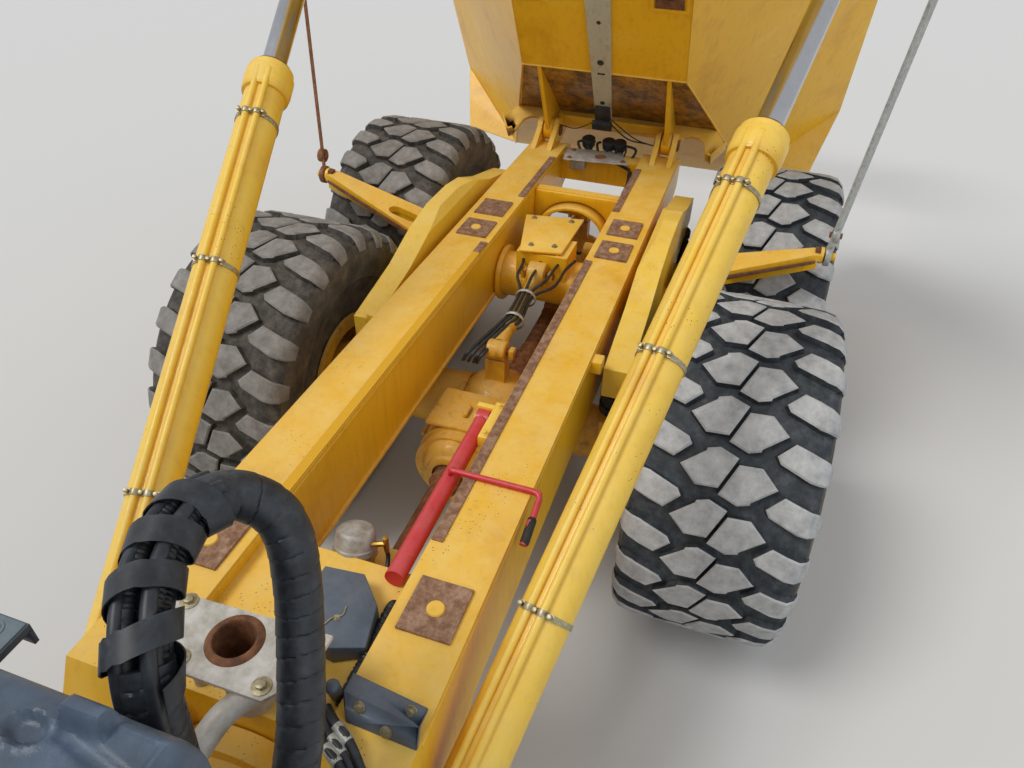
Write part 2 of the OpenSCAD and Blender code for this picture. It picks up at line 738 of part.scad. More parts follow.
module front_frame() {
    color(yellow) place() {
        both() translate([0, (front_in + front_out) / 2, 0]) profile_y([
            [steer_x + 420, 1560], [nose_end - 150, 1500], [nose_end - 150, 1240],
            [front_base + 500, 1240], [steer_x + 420, front_low]
        ], front_out - front_in);
        for (x = [steer_x + 420, engine_back + 100, engine_back + 1200, nose_end - 300])
            translate([x, -front_in - 2, member_top - 140]) cube([120, 2 * front_in + 4, 140]);
        // Mounts under the cab
        both() for (x = [cab_back + 130, cab_back + cab_len - 130])
            translate([x, (front_in + front_out) / 2, 1500]) cylinder(h = cab_floor_z - seat_gap - 1500, r = 55);
        // Hinge of the hood
        both() translate([hood_pin[0], front_out - 20, hood_pin[1]]) {
            profile_y([[-190, -160], [-70, -160], [-62, -40], [0, -36], [28, 0], [0, 34], [-130, 34]], 40);
            rotate([-90, 0, 0]) cylinder(h = 80, r = hood_pin_r);
        }
        // Upper and lower ears round the hitch, with the web that joins them
        for (z = [knuckle_h / 2 + run_gap, -knuckle_h / 2 - run_gap - ear_h])
            translate([steer_x, 0, hitch_z + z]) {
                cylinder(h = ear_h, r = knuckle_r);
                translate([0, -knuckle_r, 0]) cube([500, 2 * knuckle_r, ear_h]);
            }
        translate([steer_x + 260, -knuckle_r, hitch_z - 280]) cube([240, 2 * knuckle_r, 560]);
        translate([steer_x, 0, hitch_z]) cylinder(h = 580, r = steer_pin_r, center = true);
        // Plates over the eyes of the steering rods
        both() translate([lug_x + steer_rod_len - 90, front_in, hitch_z + 60])
            cube([180, 200, front_low - hitch_z - 54]);
    }
}

module front_axle() {
    color(yellow) place() translate([front_base, 0, axle_z]) {
        axle_body(false);
        // Struts up to the frame
        both() translate([0, 560, 150]) cylinder(h = 640, r = 75);
        both() translate([0, 560, 790]) cylinder(h = 60, r = 100);
        both() translate([-100, front_out + seat_gap, 400]) cube([200, 200, 130]);
    }
}

module engine() color("#2f3336") place() translate([engine_back, -front_in + 20, member_top + seat_gap])
    cube([1450, 2 * front_in - 40, 860]);

hood_half = 750;
hood_low = 1620;

module hood_block(inset) {
    intersection() {
        translate([hood_back, 0, 0]) profile_y([
            [inset - (inset > 0 ? 60 : 0), hood_low - inset], [inset - (inset > 0 ? 60 : 0), hood_top - inset],
            [hood_len * 0.55, hood_top - 160 - inset], [hood_len - 160 - inset, hood_top - 420 - inset],
            [hood_len - inset, hood_top - 640 - inset], [hood_len + 60 - inset, hood_low - inset]
        ], 2 * (hood_half - inset));
        translate([hood_back - 200, 0, 0]) rotate([90, 0, 90]) linear_extrude(hood_len + 400) polygon([
            [-hood_half + inset, hood_low - inset], [-hood_half + inset, hood_top - 330],
            [-hood_half + 130 + inset, hood_top - inset],
            [hood_half - 130 - inset, hood_top - inset], [hood_half - inset, hood_top - 330],
            [hood_half - inset, hood_low - inset]
        ]);
    }
}

grille_half = 430;

module grille_space(inset) translate([hood_back + hood_len - 200, -grille_half + inset, hood_low + 90 + inset])
    cube([400, 2 * (grille_half - inset), 330 - 2 * inset]);

module hood() {
    color(yellow) place() difference() {
        hood_block(0);
        hood_block(25);
        // Grille opening
        grille_space(0);
    }
    // Hinge plates
    color(yellow) place() both() translate([hood_pin[0], front_out + 26, hood_pin[1]]) difference() {
        union() {
            ycyl(34, 30);
            profile_y([[-34, 0], [34, 0], [52, 100], [20, 220], [-34, 100]], 30);
        }
        ycyl(hood_pin_r + run_gap, 60);
    }
}

module grille() {
    color(black) place() intersection() {
        difference() {
            hood_block(5);
            hood_block(20);
        }
        grille_space(seat_gap);
        translate([hood_back, 0, hood_low + 90]) union() {
            for (k = [0:5]) translate([1500, -600, k * 60]) cube([800, 1200, 32]);
            for (y = [-grille_half, -15, grille_half - 30]) translate([1500, y, 0]) cube([800, 30, 340]);
        }
    }
}

module bumper() {
    color(blue_grey) place() difference() {
        translate([nose_end - 150 + seat_gap, 0, 1090]) linear_extrude(450) polygon([
            [-60, -1150], [60, -1150], [240, -900], [240, 900], [60, 1150], [-60, 1150],
            [-60, front_out + 40], [0, front_out + 20], [0, -front_out - 20], [-60, -front_out - 40]
        ]);
        // Lamp recesses
        both() translate([nose_end + 60, 640, 1330]) cube([100, 220, 130]);
    }
}

fender_z = 1990;
fender_t = 30;

module fenders() {
    color(blue_grey) place() both() {
        translate([0, (hood_half + deck_half) / 2 + 20, 0]) profile_y([
            [steer_x + 168, 1830], [steer_x + 350, fender_z], [5560, fender_z], [5760, 1800],
            [5790, 1820], [5580, fender_z + fender_t], [steer_x + 340, fender_z + fender_t],
            [steer_x + 145, 1850]
        ], deck_half - hood_half - 40);
        // Steps ahead of the wheel
        for (k = [0:3]) translate([5800, 1060, 520 + k * 330]) cube([300, 420, 30]);
        for (y = [1040, 1480]) translate([5800, y, 500]) cube([300, 20, 1300]);
        translate([5760, 1040, 1770]) cube([340, 460, 30]);
        translate([5800, front_out + seat_gap, 1290]) cube([120, 1042 - front_out - seat_gap, 60]);
        translate([4900, front_out + seat_gap, 1440]) cube([100, 330, 60]);
        translate([4900, front_out + 300, 1440]) cube([100, 30, fender_z - 1439]);
    }
}

module tanks() {
    color(blue_grey) place() both() translate([6200, front_out + seat_gap, 1100]) cube([620, 420, 420]);
}

module rear_cover() {
    back = steer_x - 362;
    color(blue_grey) place() {
        difference() {
            translate([0, -70, 0]) profile_y([
                [back, 2190], [back, 2530], [back + 50, 2590], [back + 560, 2610], [back + 590, 2570],
                [back + 590, 2190]
            ], 1060);
            translate([back + 25, -575, 2100]) cube([440, 1010, 400]);
        }
        // Flat panel on the right
        translate([steer_x - 510, -760, 2400]) cube([700, 620, 25]);
        // Foot of the hose bundle
        translate([2790, 140, 1950 - seat_gap - 30]) cube([back + 90 - 2790, 160, 30]);
        translate([back, 140, 1950 - seat_gap - 30]) cube([40, 160, 280]);
        // Legs on the front frame
        translate([steer_x + 110, -400, 1560 + seat_gap]) cube([60, 800, 640]);
        both() translate([steer_x + 110, 340, 1560 + seat_gap]) cube([cab_back - steer_x - 170, 60, 420]);
    }
}

// Cab

module cab_block(inset) {
    intersection() {
        rotate([90, 0, 0]) linear_extrude(3000, center = true) polygon([
            [cab_back + 60 + inset, cab_floor_z + inset], [cab_back + cab_len - 40 - inset, cab_floor_z + inset],
            [cab_back + cab_len - inset, 2650], [cab_back + cab_len - 190 - inset, cab_top - 60 - inset],
            [cab_back + cab_len - 260 - inset, cab_top - inset], [cab_back + 140 + inset, cab_top - inset],
            [cab_back + 70 + inset, cab_top - 60 - inset], [cab_back + inset, 2650]
        ]);
        rotate([90, 0, 90]) linear_extrude(16000, center = true) polygon([
            [-cab_half + inset, cab_floor_z + inset], [-cab_half + inset, 2650],
            [-cab_half + 70 + inset, cab_top - 80 - inset],
            [-cab_half + 150 + inset, cab_top - inset], [cab_half - 150 - inset, cab_top - inset],
            [cab_half - 70 - inset, cab_top - 80 - inset],
            [cab_half - inset, 2650], [cab_half - inset, cab_floor_z + inset]
        ]);
    }
}

wall_t = 50;
window_low = 2560;
window_high = cab_top - 190;
door_back = cab_back + 180;
door_front = cab_back + cab_len - 320;
door_low = cab_floor_z + 60;
door_high = cab_top - 150;

// Opening through a side, from station a to b and height c to d
module side_window(a, b, c, d, r) {
    rotate([90, 0, 0]) linear_extrude(1200) polygon([
        [a + r, c], [b - r, c], [b, c + r], [b, d - r], [b - r, d], [a + r, d], [a, d - r], [a, c + r]
    ]);
}

module end_window(w, c, d) {
    rotate([90, 0, 90]) linear_extrude(700) polygon([
        [-w + 40, c], [w - 40, c], [w, c + 40], [w - 50, d], [-w + 50, d], [-w, c + 40]
    ]);
}

hinge_line = [door_back - 12, cab_half + 16];
knuckle_z = [cab_floor_z + 150, 2520];
knuckle_len = 50;

module cab_shell() {
    // Lower halves of the door hinges, with their pins
    color(blue_grey) place() for (z = knuckle_z) {
        translate([hinge_line[0], hinge_line[1], z]) cylinder(h = knuckle_len, r = 15);
        translate([hinge_line[0], hinge_line[1], z]) cylinder(h = 2 * knuckle_len, r = 8);
        translate([hinge_line[0] - 60, cab_half - 10, z]) cube([60, 20, knuckle_len]);
    }
    color(blue_grey) place() difference() {
        cab_block(0);
        cab_block(wall_t);
        side_window(door_back, door_front, window_low, window_high, 50);
        mirror([0, 1, 0]) translate([0, -300, 0]) side_window(door_back, door_front, door_low, door_high, 30);
        translate([cab_back + cab_len - 500, 0, 0]) end_window(cab_half - 110, window_low, window_high);
        translate([cab_back - 200, 0, 0]) end_window(cab_half - 130, window_low, window_high);
    }
}

// A pane follows the wall: it is the middle layer of the cab's own shape
module pane() {
    difference() {
        cab_block(20);
        cab_block(28);
    }
}

module cab_glass() {
    color(clear) place() intersection() {
        pane();
        union() {
            side_window(door_back + seat_gap, door_front - seat_gap, window_low + seat_gap, window_high - seat_gap, 50);
            translate([cab_back + cab_len - 450, 0, 0])
                end_window(cab_half - 110 - seat_gap, window_low + seat_gap, window_high - seat_gap);
            translate([cab_back - 350, 0, 0])
                end_window(cab_half - 130 - seat_gap, window_low + seat_gap, window_high - seat_gap);
        }
    }
}

module cab_interior() {
    floor_in = cab_floor_z + wall_t + seat_gap;
    color(black) place() {
        translate([cab_back + 420, -240, floor_in]) cube([400, 480, 90]);
        translate([cab_back + 380, -250, floor_in + 90]) cube([480, 500, 330]);
        translate([cab_back + 280, -230, floor_in + 400]) rotate([0, -8, 0]) cube([110, 460, 700]);
        translate([cab_back + cab_len - 330, -580, floor_in]) cube([230, 1100, 560]);
        translate([cab_back + cab_len - 440, 0, floor_in + 540]) {
            rotate([0, -60, 0]) cylinder(h = 30, r = 210);
            rotate([0, 120, 0]) cylinder(h = 170, r = 35);
        }
    }
}

door_gap = 8;
module door() {
    color(blue_grey) place() for (z = knuckle_z) difference() {
        translate([0, 0, z + knuckle_len + run_gap]) {
            translate([hinge_line[0], hinge_line[1], 0]) cylinder(h = knuckle_len - 5, r = 15);
            translate([hinge_line[0], cab_half + 1, 0]) cube([80, 13, knuckle_len - 5]);
            translate([door_back + 15, cab_half - 5, 0]) cube([40, 15, knuckle_len - 5]);
        }
        translate([hinge_line[0], hinge_line[1], z]) cylinder(h = 200, r = 8 + run_gap);
    }
    color(blue_grey) place() difference() {
        intersection() {
            difference() {
                cab_block(0);
                cab_block(wall_t - 6);
            }
            mirror([0, 1, 0]) translate([0, -300, 0])
                side_window(door_back + door_gap, door_front - door_gap, door_low + door_gap, door_high - door_gap, 24);
        }
        mirror([0, 1, 0]) translate([0, -300, 0])
            side_window(door_back + 80, door_front - 80, 2350, door_high - 80, 60);
    }
}

module door_glass() {
    color(clear) place() intersection() {
        pane();
        mirror([0, 1, 0]) translate([0, -300, 0]) side_window(door_back + 80 + seat_gap, door_front - 80 - seat_gap,
            2350 + seat_gap, door_high - 80 - seat_gap, 60);
    }
}

module handrails() {
    base = fender_z + fender_t + seat_gap;
    y = deck_half - 60;
    color(yellow) place() both() {
        for (x = [5100, 5520]) translate([x, y, base]) cylinder(h = 700, r = 17);
        translate([5310, y, base + 700]) xcyl(21, 470);
        translate([5310, y, base + 380]) xcyl(13, 420);
        // Mirror arm and its head
        bar([5515, y, base + 560], [5650, y - 15, base + 900], 12);
        translate([5630, deck_half - 150, base + 860]) cube([60, 170, 330]);
    }
}

// Station of the origin, halfway between the bumper's face and the tailgate's back
gate_turn = gate_open - raise;
gate_x = hinge_x + gate_pivot[0] * cos(raise) - gate_pivot[1] * sin(raise);
rear_reach = gate_x + gate_back[0] * cos(gate_turn) + gate_back[1] * sin(gate_turn);
origin_x = (nose_end + 90 + rear_reach) / 2;

rear_frame();
hoist_pins();
wear_plates();
outrigger_arms();
walking_beams();
rubber_springs();
bogie_axles();
control_rods();
rear_shafts();
outlet_plate();
canister();
hitch();
hose_bundle();
body_floor();
body_sides();
body_front_wall();
body_underframe();
tailgate();
tail_link(1);  // tail_link_left
tail_link(-1);  // tail_link_right
hoist_barrel_at(1);  // hoist_barrel_left
hoist_barrel_at(-1);  // hoist_barrel_right
hoist_rod_at(1);  // hoist_rod_left
hoist_rod_at(-1);  // hoist_rod_right
steer_barrel_at(1);  // steer_barrel_left
steer_barrel_at(-1);  // steer_barrel_right
steer_rod_at(1);  // steer_rod_left
steer_rod_at(-1);  // steer_rod_right
body_prop();
tyre(front_base, 1);  // tyre_front_left
tyre(front_base, -1);  // tyre_front_right
tyre(0, 1);  // tyre_mid_left
tyre(0, -1);  // tyre_mid_right
tyre(rear_x, 1);  // tyre_rear_left
tyre(rear_x, -1);  // tyre_rear_right
rim(front_base, 1);  // rim_front_left
rim(front_base, -1);  // rim_front_right
rim(0, 1);  // rim_mid_left
rim(0, -1);  // rim_mid_right
rim(rear_x, 1);  // rim_rear_left
rim(rear_x, -1);  // rim_rear_right
front_frame();
front_axle();
engine();
hood();
grille();
bumper();
fenders();
tanks();
rear_cover();
cab_shell();
cab_glass();
cab_interior();
door();
door_glass();
handrails();
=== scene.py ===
"""Looks of an articulated dump truck, parked with its load body raised."""

import math

import bmesh
import bpy
from mathutils import Matrix, Vector


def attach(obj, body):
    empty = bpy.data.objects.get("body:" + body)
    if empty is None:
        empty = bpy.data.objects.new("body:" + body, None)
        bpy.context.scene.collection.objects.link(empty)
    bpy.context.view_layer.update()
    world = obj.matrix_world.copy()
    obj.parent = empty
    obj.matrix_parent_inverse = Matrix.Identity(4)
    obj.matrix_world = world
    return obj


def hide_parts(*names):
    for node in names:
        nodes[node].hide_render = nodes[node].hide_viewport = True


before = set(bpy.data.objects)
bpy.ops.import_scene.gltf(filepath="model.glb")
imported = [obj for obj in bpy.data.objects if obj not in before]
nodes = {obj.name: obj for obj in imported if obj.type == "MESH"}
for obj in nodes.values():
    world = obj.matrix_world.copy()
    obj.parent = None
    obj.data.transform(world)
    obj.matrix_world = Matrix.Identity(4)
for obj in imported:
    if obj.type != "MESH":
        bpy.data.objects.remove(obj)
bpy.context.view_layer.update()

# Stations are millimetres from the middle axle, as in the part's source, and this is the row's origin.
ORIGIN_X = 895.06


def at(x, y, z):
    """Station, side and height in millimetres to a point in the row frame."""
    return Vector(((x - ORIGIN_X) / 1000, y / 1000, z / 1000))


# Camera

camera = bpy.data.objects.new("camera", bpy.data.cameras.new("camera"))
bpy.context.scene.collection.objects.link(camera)
bpy.context.scene.camera = camera
camera.data.lens = 26.626
camera.data.sensor_width = 36
camera.data.clip_end = 200
yaw, pitch, roll = (math.radians(a) for a in (17.908, 37.747, 1.430))
ahead = Vector((-math.cos(pitch) * math.cos(yaw), -math.cos(pitch) * math.sin(yaw), -math.sin(pitch)))
right = ahead.cross(Vector((0, 0, 1))).normalized()
up = right.cross(ahead)
right, up = (
    math.cos(roll) * right + math.sin(roll) * up,
    math.cos(roll) * up - math.sin(roll) * right,
)
turned = Matrix((right, up, -ahead)).transposed().to_4x4()
camera.matrix_world = Matrix.Translation(at(3382.2, 1186.3, 3912.3)) @ turned

# Materials


def linear(code):
    """sRGB hex to the linear colour that a socket takes."""
    parts = [int(code[i:i + 2], 16) / 255 for i in (1, 3, 5)]
    return tuple(p / 12.92 if p <= 0.04045 else ((p + 0.055) / 1.055) ** 2.4 for p in parts) + (1.0,)


def add(tree, kind, sockets=None, stops=None, **settings):
    """Adds a node: sockets take a value or (node, output), and stops are a ramp's places and colours."""
    made = tree.nodes.new(kind)
    for name, value in settings.items():
        setattr(made, name, value)
    for name, value in (sockets or {}).items():
        if isinstance(value, tuple) and isinstance(value[0], bpy.types.Node):
            tree.links.new(value[0].outputs[value[1]], made.inputs[name])
        else:
            made.inputs[name].default_value = value
    for place, colour in stops or []:
        ends = made.color_ramp.elements
        stop = ends[0] if place == stops[0][0] else ends.new(place)
        stop.position = place
        stop.color = colour if isinstance(colour, tuple) else linear(colour)
    if stops:
        made.color_ramp.elements.remove(made.color_ramp.elements[-1])
    return made


def start(name, **fixed):
    """A material with its shader's fixed values, its node tree, and the piece's own coordinates."""
    material = bpy.data.materials.new(name)
    material.use_nodes = True
    tree = material.node_tree
    shader = tree.nodes["Principled BSDF"]
    for socket, value in fixed.items():
        shader.inputs[socket.replace("_", " ")].default_value = value
    return material, tree, shader, add(tree, "ShaderNodeTexCoord")


def noise(tree, here, scale, detail=2.0, roughness=0.5):
    return add(tree, "ShaderNodeTexNoise",
               {"Vector": here, "Scale": scale, "Detail": detail, "Roughness": roughness}), "Fac"


def ranged(tree, value, low=0.0, high=1.0, to_low=0.0, to_high=1.0):
    return add(tree, "ShaderNodeMapRange", {"Value": value, "From Min": low, "From Max": high,
                                            "To Min": to_low, "To Max": to_high}), "Result"


def reckoned(tree, operation, first, second, **settings):
    return add(tree, "ShaderNodeMath", {0: first, 1: second}, operation=operation, **settings), "Value"


def blended(tree, share, first, second):
    """A mix of two colours, each a hex code or a (node, output)."""
    first, second = (linear(c) if isinstance(c, str) else c for c in (first, second))
    return add(tree, "ShaderNodeMixRGB", {"Fac": share, "Color1": first, "Color2": second}), "Color"


def ramp(tree, value, stops):
    return add(tree, "ShaderNodeValToRGB", {"Fac": value}, stops=stops), "Color"


def join(tree, source, shader, socket):
    tree.links.new(source[0].outputs[source[1]], shader.inputs[socket])


def painted_steel(name, coat, faded, dark, wear, dust_and_light_tone, dust_and_light_share=0.45, grime=0.0, rough=0.38, edge=0.006):
    """Sprayed enamel on steel plate: patches faded by the sun, stone chips with rust in them, dust with painted
    light on what faces up, and edges that catch the light as a rounded plate edge does."""
    material, tree, shader, place = start(name, Metallic=0.0, IOR=1.5, Coat_Weight=0.12)
    here = (place, "Object")
    # Faded and darker patches about 400 mm across
    patches = noise(tree, here, 2.4, 5.0, 0.62)
    colour = ramp(tree, patches, [(0.30, dark), (0.46, coat), (0.60, coat), (0.76, faded)])
    # Streaks that run down, 30 mm wide and ten times as long
    flat = add(tree, "ShaderNodeMapping", {"Vector": here, "Scale": (30.0, 30.0, 3.0)})
    streaks = noise(tree, (flat, "Vector"), 1.0, 3.0)
    colour = blended(tree, ranged(tree, streaks, 0.52, 0.8, to_high=0.35 + 0.4 * grime), colour, wear)
    # Dust with painted light on faces that look up, thicker in cloudy drifts of about 150 mm
    surface = add(tree, "ShaderNodeNewGeometry")
    facing = add(tree, "ShaderNodeSeparateXYZ", {"Vector": (surface, "Normal")})
    upward = ranged(tree, (facing, "Z"), 0.15, 0.95, to_high=dust_and_light_share)
    drifts = ranged(tree, noise(tree, here, 6.5, 7.0, 0.7), 0.3, 0.7, 0.25, 1.5)
    dust_and_light = reckoned(tree, "MULTIPLY", upward, drifts, use_clamp=True)
    colour = blended(tree, dust_and_light, colour, dust_and_light_tone)
    # Chips of 4 to 10 mm, gathered in patches
    chips = add(tree, "ShaderNodeTexVoronoi", {"Vector": here, "Scale": 60.0, "Randomness": 1.0})
    small = reckoned(tree, "LESS_THAN", (chips, "Distance"), 0.13)
    gathered = reckoned(tree, "GREATER_THAN", noise(tree, here, 3.7, 4.0), 0.585 - 0.12 * grime)
    colour = blended(tree, reckoned(tree, "MULTIPLY", small, gathered), colour, "#6a452c")
    if grime > 0:
        # Oil and road dirt in blots of 100 mm
        blots = noise(tree, here, 9.0, 8.0, 0.7)
        soiled = ranged(tree, blots, 0.62 - 0.3 * grime, 0.78 - 0.2 * grime, to_high=min(0.9, 0.4 + grime))
        colour = blended(tree, soiled, colour, "#46331f")
    join(tree, colour, shader, "Base Color")
    join(tree, ranged(tree, dust_and_light, to_low=rough, to_high=0.85), shader, "Roughness")
    # Orange peel of the spray, and the rounding of the plate's edges
    rounded = add(tree, "ShaderNodeBevel", {"Radius": edge}, samples=4)
    bumpy = add(tree, "ShaderNodeBump", {"Height": noise(tree, here, 110.0), "Strength": 0.10,
                                         "Distance": 0.004, "Normal": (rounded, "Normal")})
    join(tree, (bumpy, "Normal"), shader, "Normal")
    return material


# The fifth colour of each enamel is dust with painted light, laid on faces that look up
yellow_enamel = painted_steel("yellow_enamel", "#efb71c", "#f3c843", "#dea114", "#c08a24", "#f0d78e",
                              dust_and_light_share=0.36)
pale_enamel = painted_steel("pale_yellow_enamel", "#f3c636", "#f6d45f", "#e6b126", "#cf9e32", "#f3df9c",
                            dust_and_light_share=0.30)
grimy_enamel = painted_steel("grimy_yellow_enamel", "#dca420", "#e6b947", "#b98318", "#8f6a2e", "#c2a66c",
                             dust_and_light_share=0.42, grime=0.26, rough=0.48)
slate_enamel = painted_steel("slate_enamel", "#445162", "#56657a", "#39434f", "#2b3036", "#8b8f92",
                             dust_and_light_share=0.28, rough=0.42)
red_enamel = painted_steel("red_enamel", "#c9212c", "#d9434a", "#a8161f", "#8d1b20", "#d9888a",
                           dust_and_light_share=0.25, rough=0.33, edge=0.002)


def mottled(name, colours, scale, rough, metallic=0.0, bump=0.2, grain=400.0, **fixed):
    """A surface whose colour drifts between a few tones, given as hex codes with spaces between, with a
    fine grain in its bump. scale is the drift in cycles a metre, and grain that of the bump."""
    material, tree, shader, place = start(name, Metallic=metallic, **fixed)
    here, tones = (place, "Object"), colours.split()
    drift = noise(tree, here, scale, 9.0, 0.68)
    stops = [(0.30 + 0.42 * i / (len(tones) - 1), tone) for i, tone in enumerate(tones)]
    join(tree, ramp(tree, drift, stops), shader, "Base Color")
    join(tree, ranged(tree, drift, to_low=rough[0], to_high=rough[1]), shader, "Roughness")
    fine = noise(tree, here, grain, 4.0)
    bumpy = add(tree, "ShaderNodeBump", {"Height": fine, "Strength": bump, "Distance": 0.003})
    join(tree, (bumpy, "Normal"), shader, "Normal")
    return material


# Vulcanised rubber: lug faces scuffed pale by stone dust, black grooves, walls brown with dried mud
lug_face_rubber = mottled("lug_face_rubber", "#8f9091 #a3a4a4 #b3b4b4 #c2c3c3", 14.0, (0.75, 0.95),
                          bump=0.5, grain=90.0)
lug_face_brown = mottled("lug_face_brown", "#6b6864 #7d7a75 #8d8a86 #9c9995", 14.0, (0.75, 0.95),
                         bump=0.5, grain=90.0)
groove_rubber = mottled("groove_rubber", "#23272b #2d3237 #3f454a #565a5c", 18.0, (0.6, 0.85), bump=0.4,
                        grain=120.0)
groove_brown = mottled("groove_brown", "#2d2b28 #3d3a35 #57514a #6b645a", 18.0, (0.7, 0.9), bump=0.4,
                       grain=120.0)
wall_rubber = mottled("wall_rubber", "#39352f #4d473e #675e50 #7d7261", 7.0, (0.7, 0.92), bump=0.35,
                      grain=140.0)
# Mill steel left bare: rust in brown and orange scale, ridged by the sliding body
rusty_steel = mottled("rusty_steel", "#4c3121 #6a452c #835638 #9a6f4c", 22.0, (0.6, 0.9), metallic=0.15,
                      bump=0.6, grain=180.0)
# Slide plates worn by the body: pale rust, and still yellow on the right rail's long strip
wear_steel = mottled("worn_slide_plate", "#694a38 #846048 #9f7d64 #b3957f", 30.0, (0.6, 0.9),
                     metallic=0.1, bump=0.6, grain=180.0)
tree = wear_steel.node_tree
shader, place = (next(n for n in tree.nodes if n.type == kind) for kind in ("BSDF_PRINCIPLED", "TEX_COORD"))
rust = shader.inputs["Base Color"].links[0].from_node
split = add(tree, "ShaderNodeSeparateXYZ", {"Vector": (place, "Object")})
painted = reckoned(tree, "LESS_THAN", (split, "Y"), -0.1)
for operation, station in (("GREATER_THAN", -1.45), ("LESS_THAN", 0.8)):
    painted = reckoned(tree, "MULTIPLY", painted, reckoned(tree, operation, (split, "X"), station))
join(tree, blended(tree, painted, (rust, "Color"), "#dfab24"), shader, "Base Color")
rusty_rod = mottled("rusty_rod", "#5b3a27 #7c4f34 #93643f #a98259", 30.0, (0.6, 0.9), bump=0.5, grain=160.0)
# Enamel under the chute: a darker brown-yellow that is painted shade under the raised body, and mud brown blots
# where stone dust and grease have stained it
chute_shade_and_grime = painted_steel("shaded_stained_chute_enamel", "#c08c2a", "#cfa148", "#96682a", "#6b4a28",
                            "#a58a5c", dust_and_light_share=0.2, grime=0.75, rough=0.6)
# Grey enamel on the centre strip, rubbed and streaked
strip_paint = painted_steel("grey_strip_enamel", "#b9b7a4", "#c9c7b6", "#9d9a86", "#8c7c58", "#cbc9bd",
                            dust_and_light_share=0.2, grime=0.15, rough=0.5, edge=0.003)
# Hot-dip galvanised steel: pale grey crystals, and a dusty matt film
galvanised = mottled("galvanised_steel", "#8f918c #a8aaa5 #b9bbb6 #c8c9c4", 40.0, (0.42, 0.62),
                     metallic=0.55, bump=0.12)
dusty_plate = mottled("dusty_stainless_plate", "#a39c8f #bab5aa #cfccc5 #dfddd8", 12.0, (0.38, 0.7),
                      metallic=0.45, bump=0.15)
zinc_bolt = mottled("zinc_plated_bolt", "#8b7f5c #a69a76 #b9b199 #c9c4b4", 60.0, (0.35, 0.55),
                    metallic=0.8, bump=0.1)
# Hard chrome on a ground rod: mirror with fine grinding haze
rod_chrome = mottled("hard_chrome", "#b4b5b7 #c2c3c5 #cccdd0", 3.0, (0.10, 0.22), metallic=1.0, bump=0.03)
# Injection-moulded polypropylene with a leather grain, dusted in its hollows
slate_plastic = mottled("slate_moulded_plastic", "#3d4856 #475464 #526174 #66768a", 6.0, (0.3, 0.52),
                        bump=0.22, grain=320.0)
weathered_sheet = mottled("weathered_grey_sheet", "#5d6b74 #6b7a83 #7b8a92 #8b989f", 5.0, (0.5, 0.7),
                          bump=0.15)
hose_rubber = mottled("hose_rubber", "#17191c #1f2226 #2a2e33 #3a3f45", 26.0, (0.36, 0.6), bump=0.15)
wrap_plastic = mottled("hose_wrap_plastic", "#1c1f23 #25292e #30353b #454b52", 20.0, (0.34, 0.55),
                       bump=0.12)
black_rubber = mottled("black_rubber", "#1b1c1d #242526 #313131 #45433f", 16.0, (0.6, 0.85), bump=0.3)
black_iron = mottled("black_cast_iron", "#1d1e1f #2a2b2b #3a3833 #4f463b", 16.0, (0.55, 0.8),
                     metallic=0.2, bump=0.5, grain=120.0)
black_trim = mottled("black_moulded_trim", "#1a1b1d #202224 #292b2e", 8.0, (0.5, 0.68), bump=0.3,
                     grain=350.0)
cast_grey = mottled("stained_aluminium", "#8b6f55 #a19a90 #b5b1aa #c3c1bc", 16.0, (0.45, 0.7),
                    metallic=0.4, bump=0.3)
brass = mottled("brass_fitting", "#8e6a2c #b08a43 #c7a35a", 40.0, (0.3, 0.5), metallic=0.9, bump=0.1)
lamp_amber, lamp_white = (
    mottled(name, tones, 9.0, (0.18, 0.28), bump=0.1, grain=90.0, IOR=1.49, Coat_Weight=0.6)
    for name, tones in (("amber_lamp_acrylic", "#c9701a #de8a26"), ("clear_lamp_acrylic", "#c9cdd0 #dfe3e5")))


def window_glass():
    """Tinted float glass with a film of dust that scatters a little light."""
    material, tree, shader, place = start("tinted_window_glass", Metallic=0.0, IOR=1.52, Alpha=1.0,
                                          Transmission_Weight=0.82, Coat_Weight=0.2)
    film = noise(tree, (place, "Object"), 5.0, 8.0)
    join(tree, ramp(tree, film, [(0.35, "#6f7f82"), (0.7, "#a4adad")]), shader, "Base Color")
    join(tree, ranged(tree, film, to_low=0.03, to_high=0.14), shader, "Roughness")
    return material


glass = window_glass()

# Building


def block(bm, corner, other):
    """A box between two opposite corners given in millimetres."""
    low, high = at(*map(min, corner, other)), at(*map(max, corner, other))
    matrix = Matrix.Translation((low + high) / 2) @ Matrix.Diagonal((*(high - low), 1))
    bmesh.ops.create_cube(bm, size=1, matrix=matrix)


def rod(bm, a, b, r1, r2=None, sides=24):
    """A round bar or cone from a to b, radii in millimetres."""
    a, b = at(*a), at(*b)
    aim = (b - a).to_track_quat("Z", "Y").to_matrix().to_4x4()
    return bmesh.ops.create_cone(bm, cap_ends=True, cap_tris=False, segments=sides, radius1=r1 / 1000,
                                 radius2=(r1 if r2 is None else r2) / 1000, depth=(b - a).length,
                                 matrix=Matrix.Translation((a + b) / 2) @ aim)["verts"]


def ball(bm, centre, r, squash):
    matrix = Matrix.Translation(at(*centre)) @ Matrix.Diagonal((*squash, 1))
    bmesh.ops.create_uvsphere(bm, u_segments=24, v_segments=12, radius=r / 1000, matrix=matrix)


def verts_in(geom):
    return [g for g in geom if isinstance(g, bmesh.types.BMVert)]


def around(count, radius, share=0.0):
    """Offsets evenly round a circle, the first one at a share of a step."""
    angles = [2 * math.pi * (k + share) / count for k in range(count)]
    return [(radius * math.cos(a), radius * math.sin(a)) for a in angles]


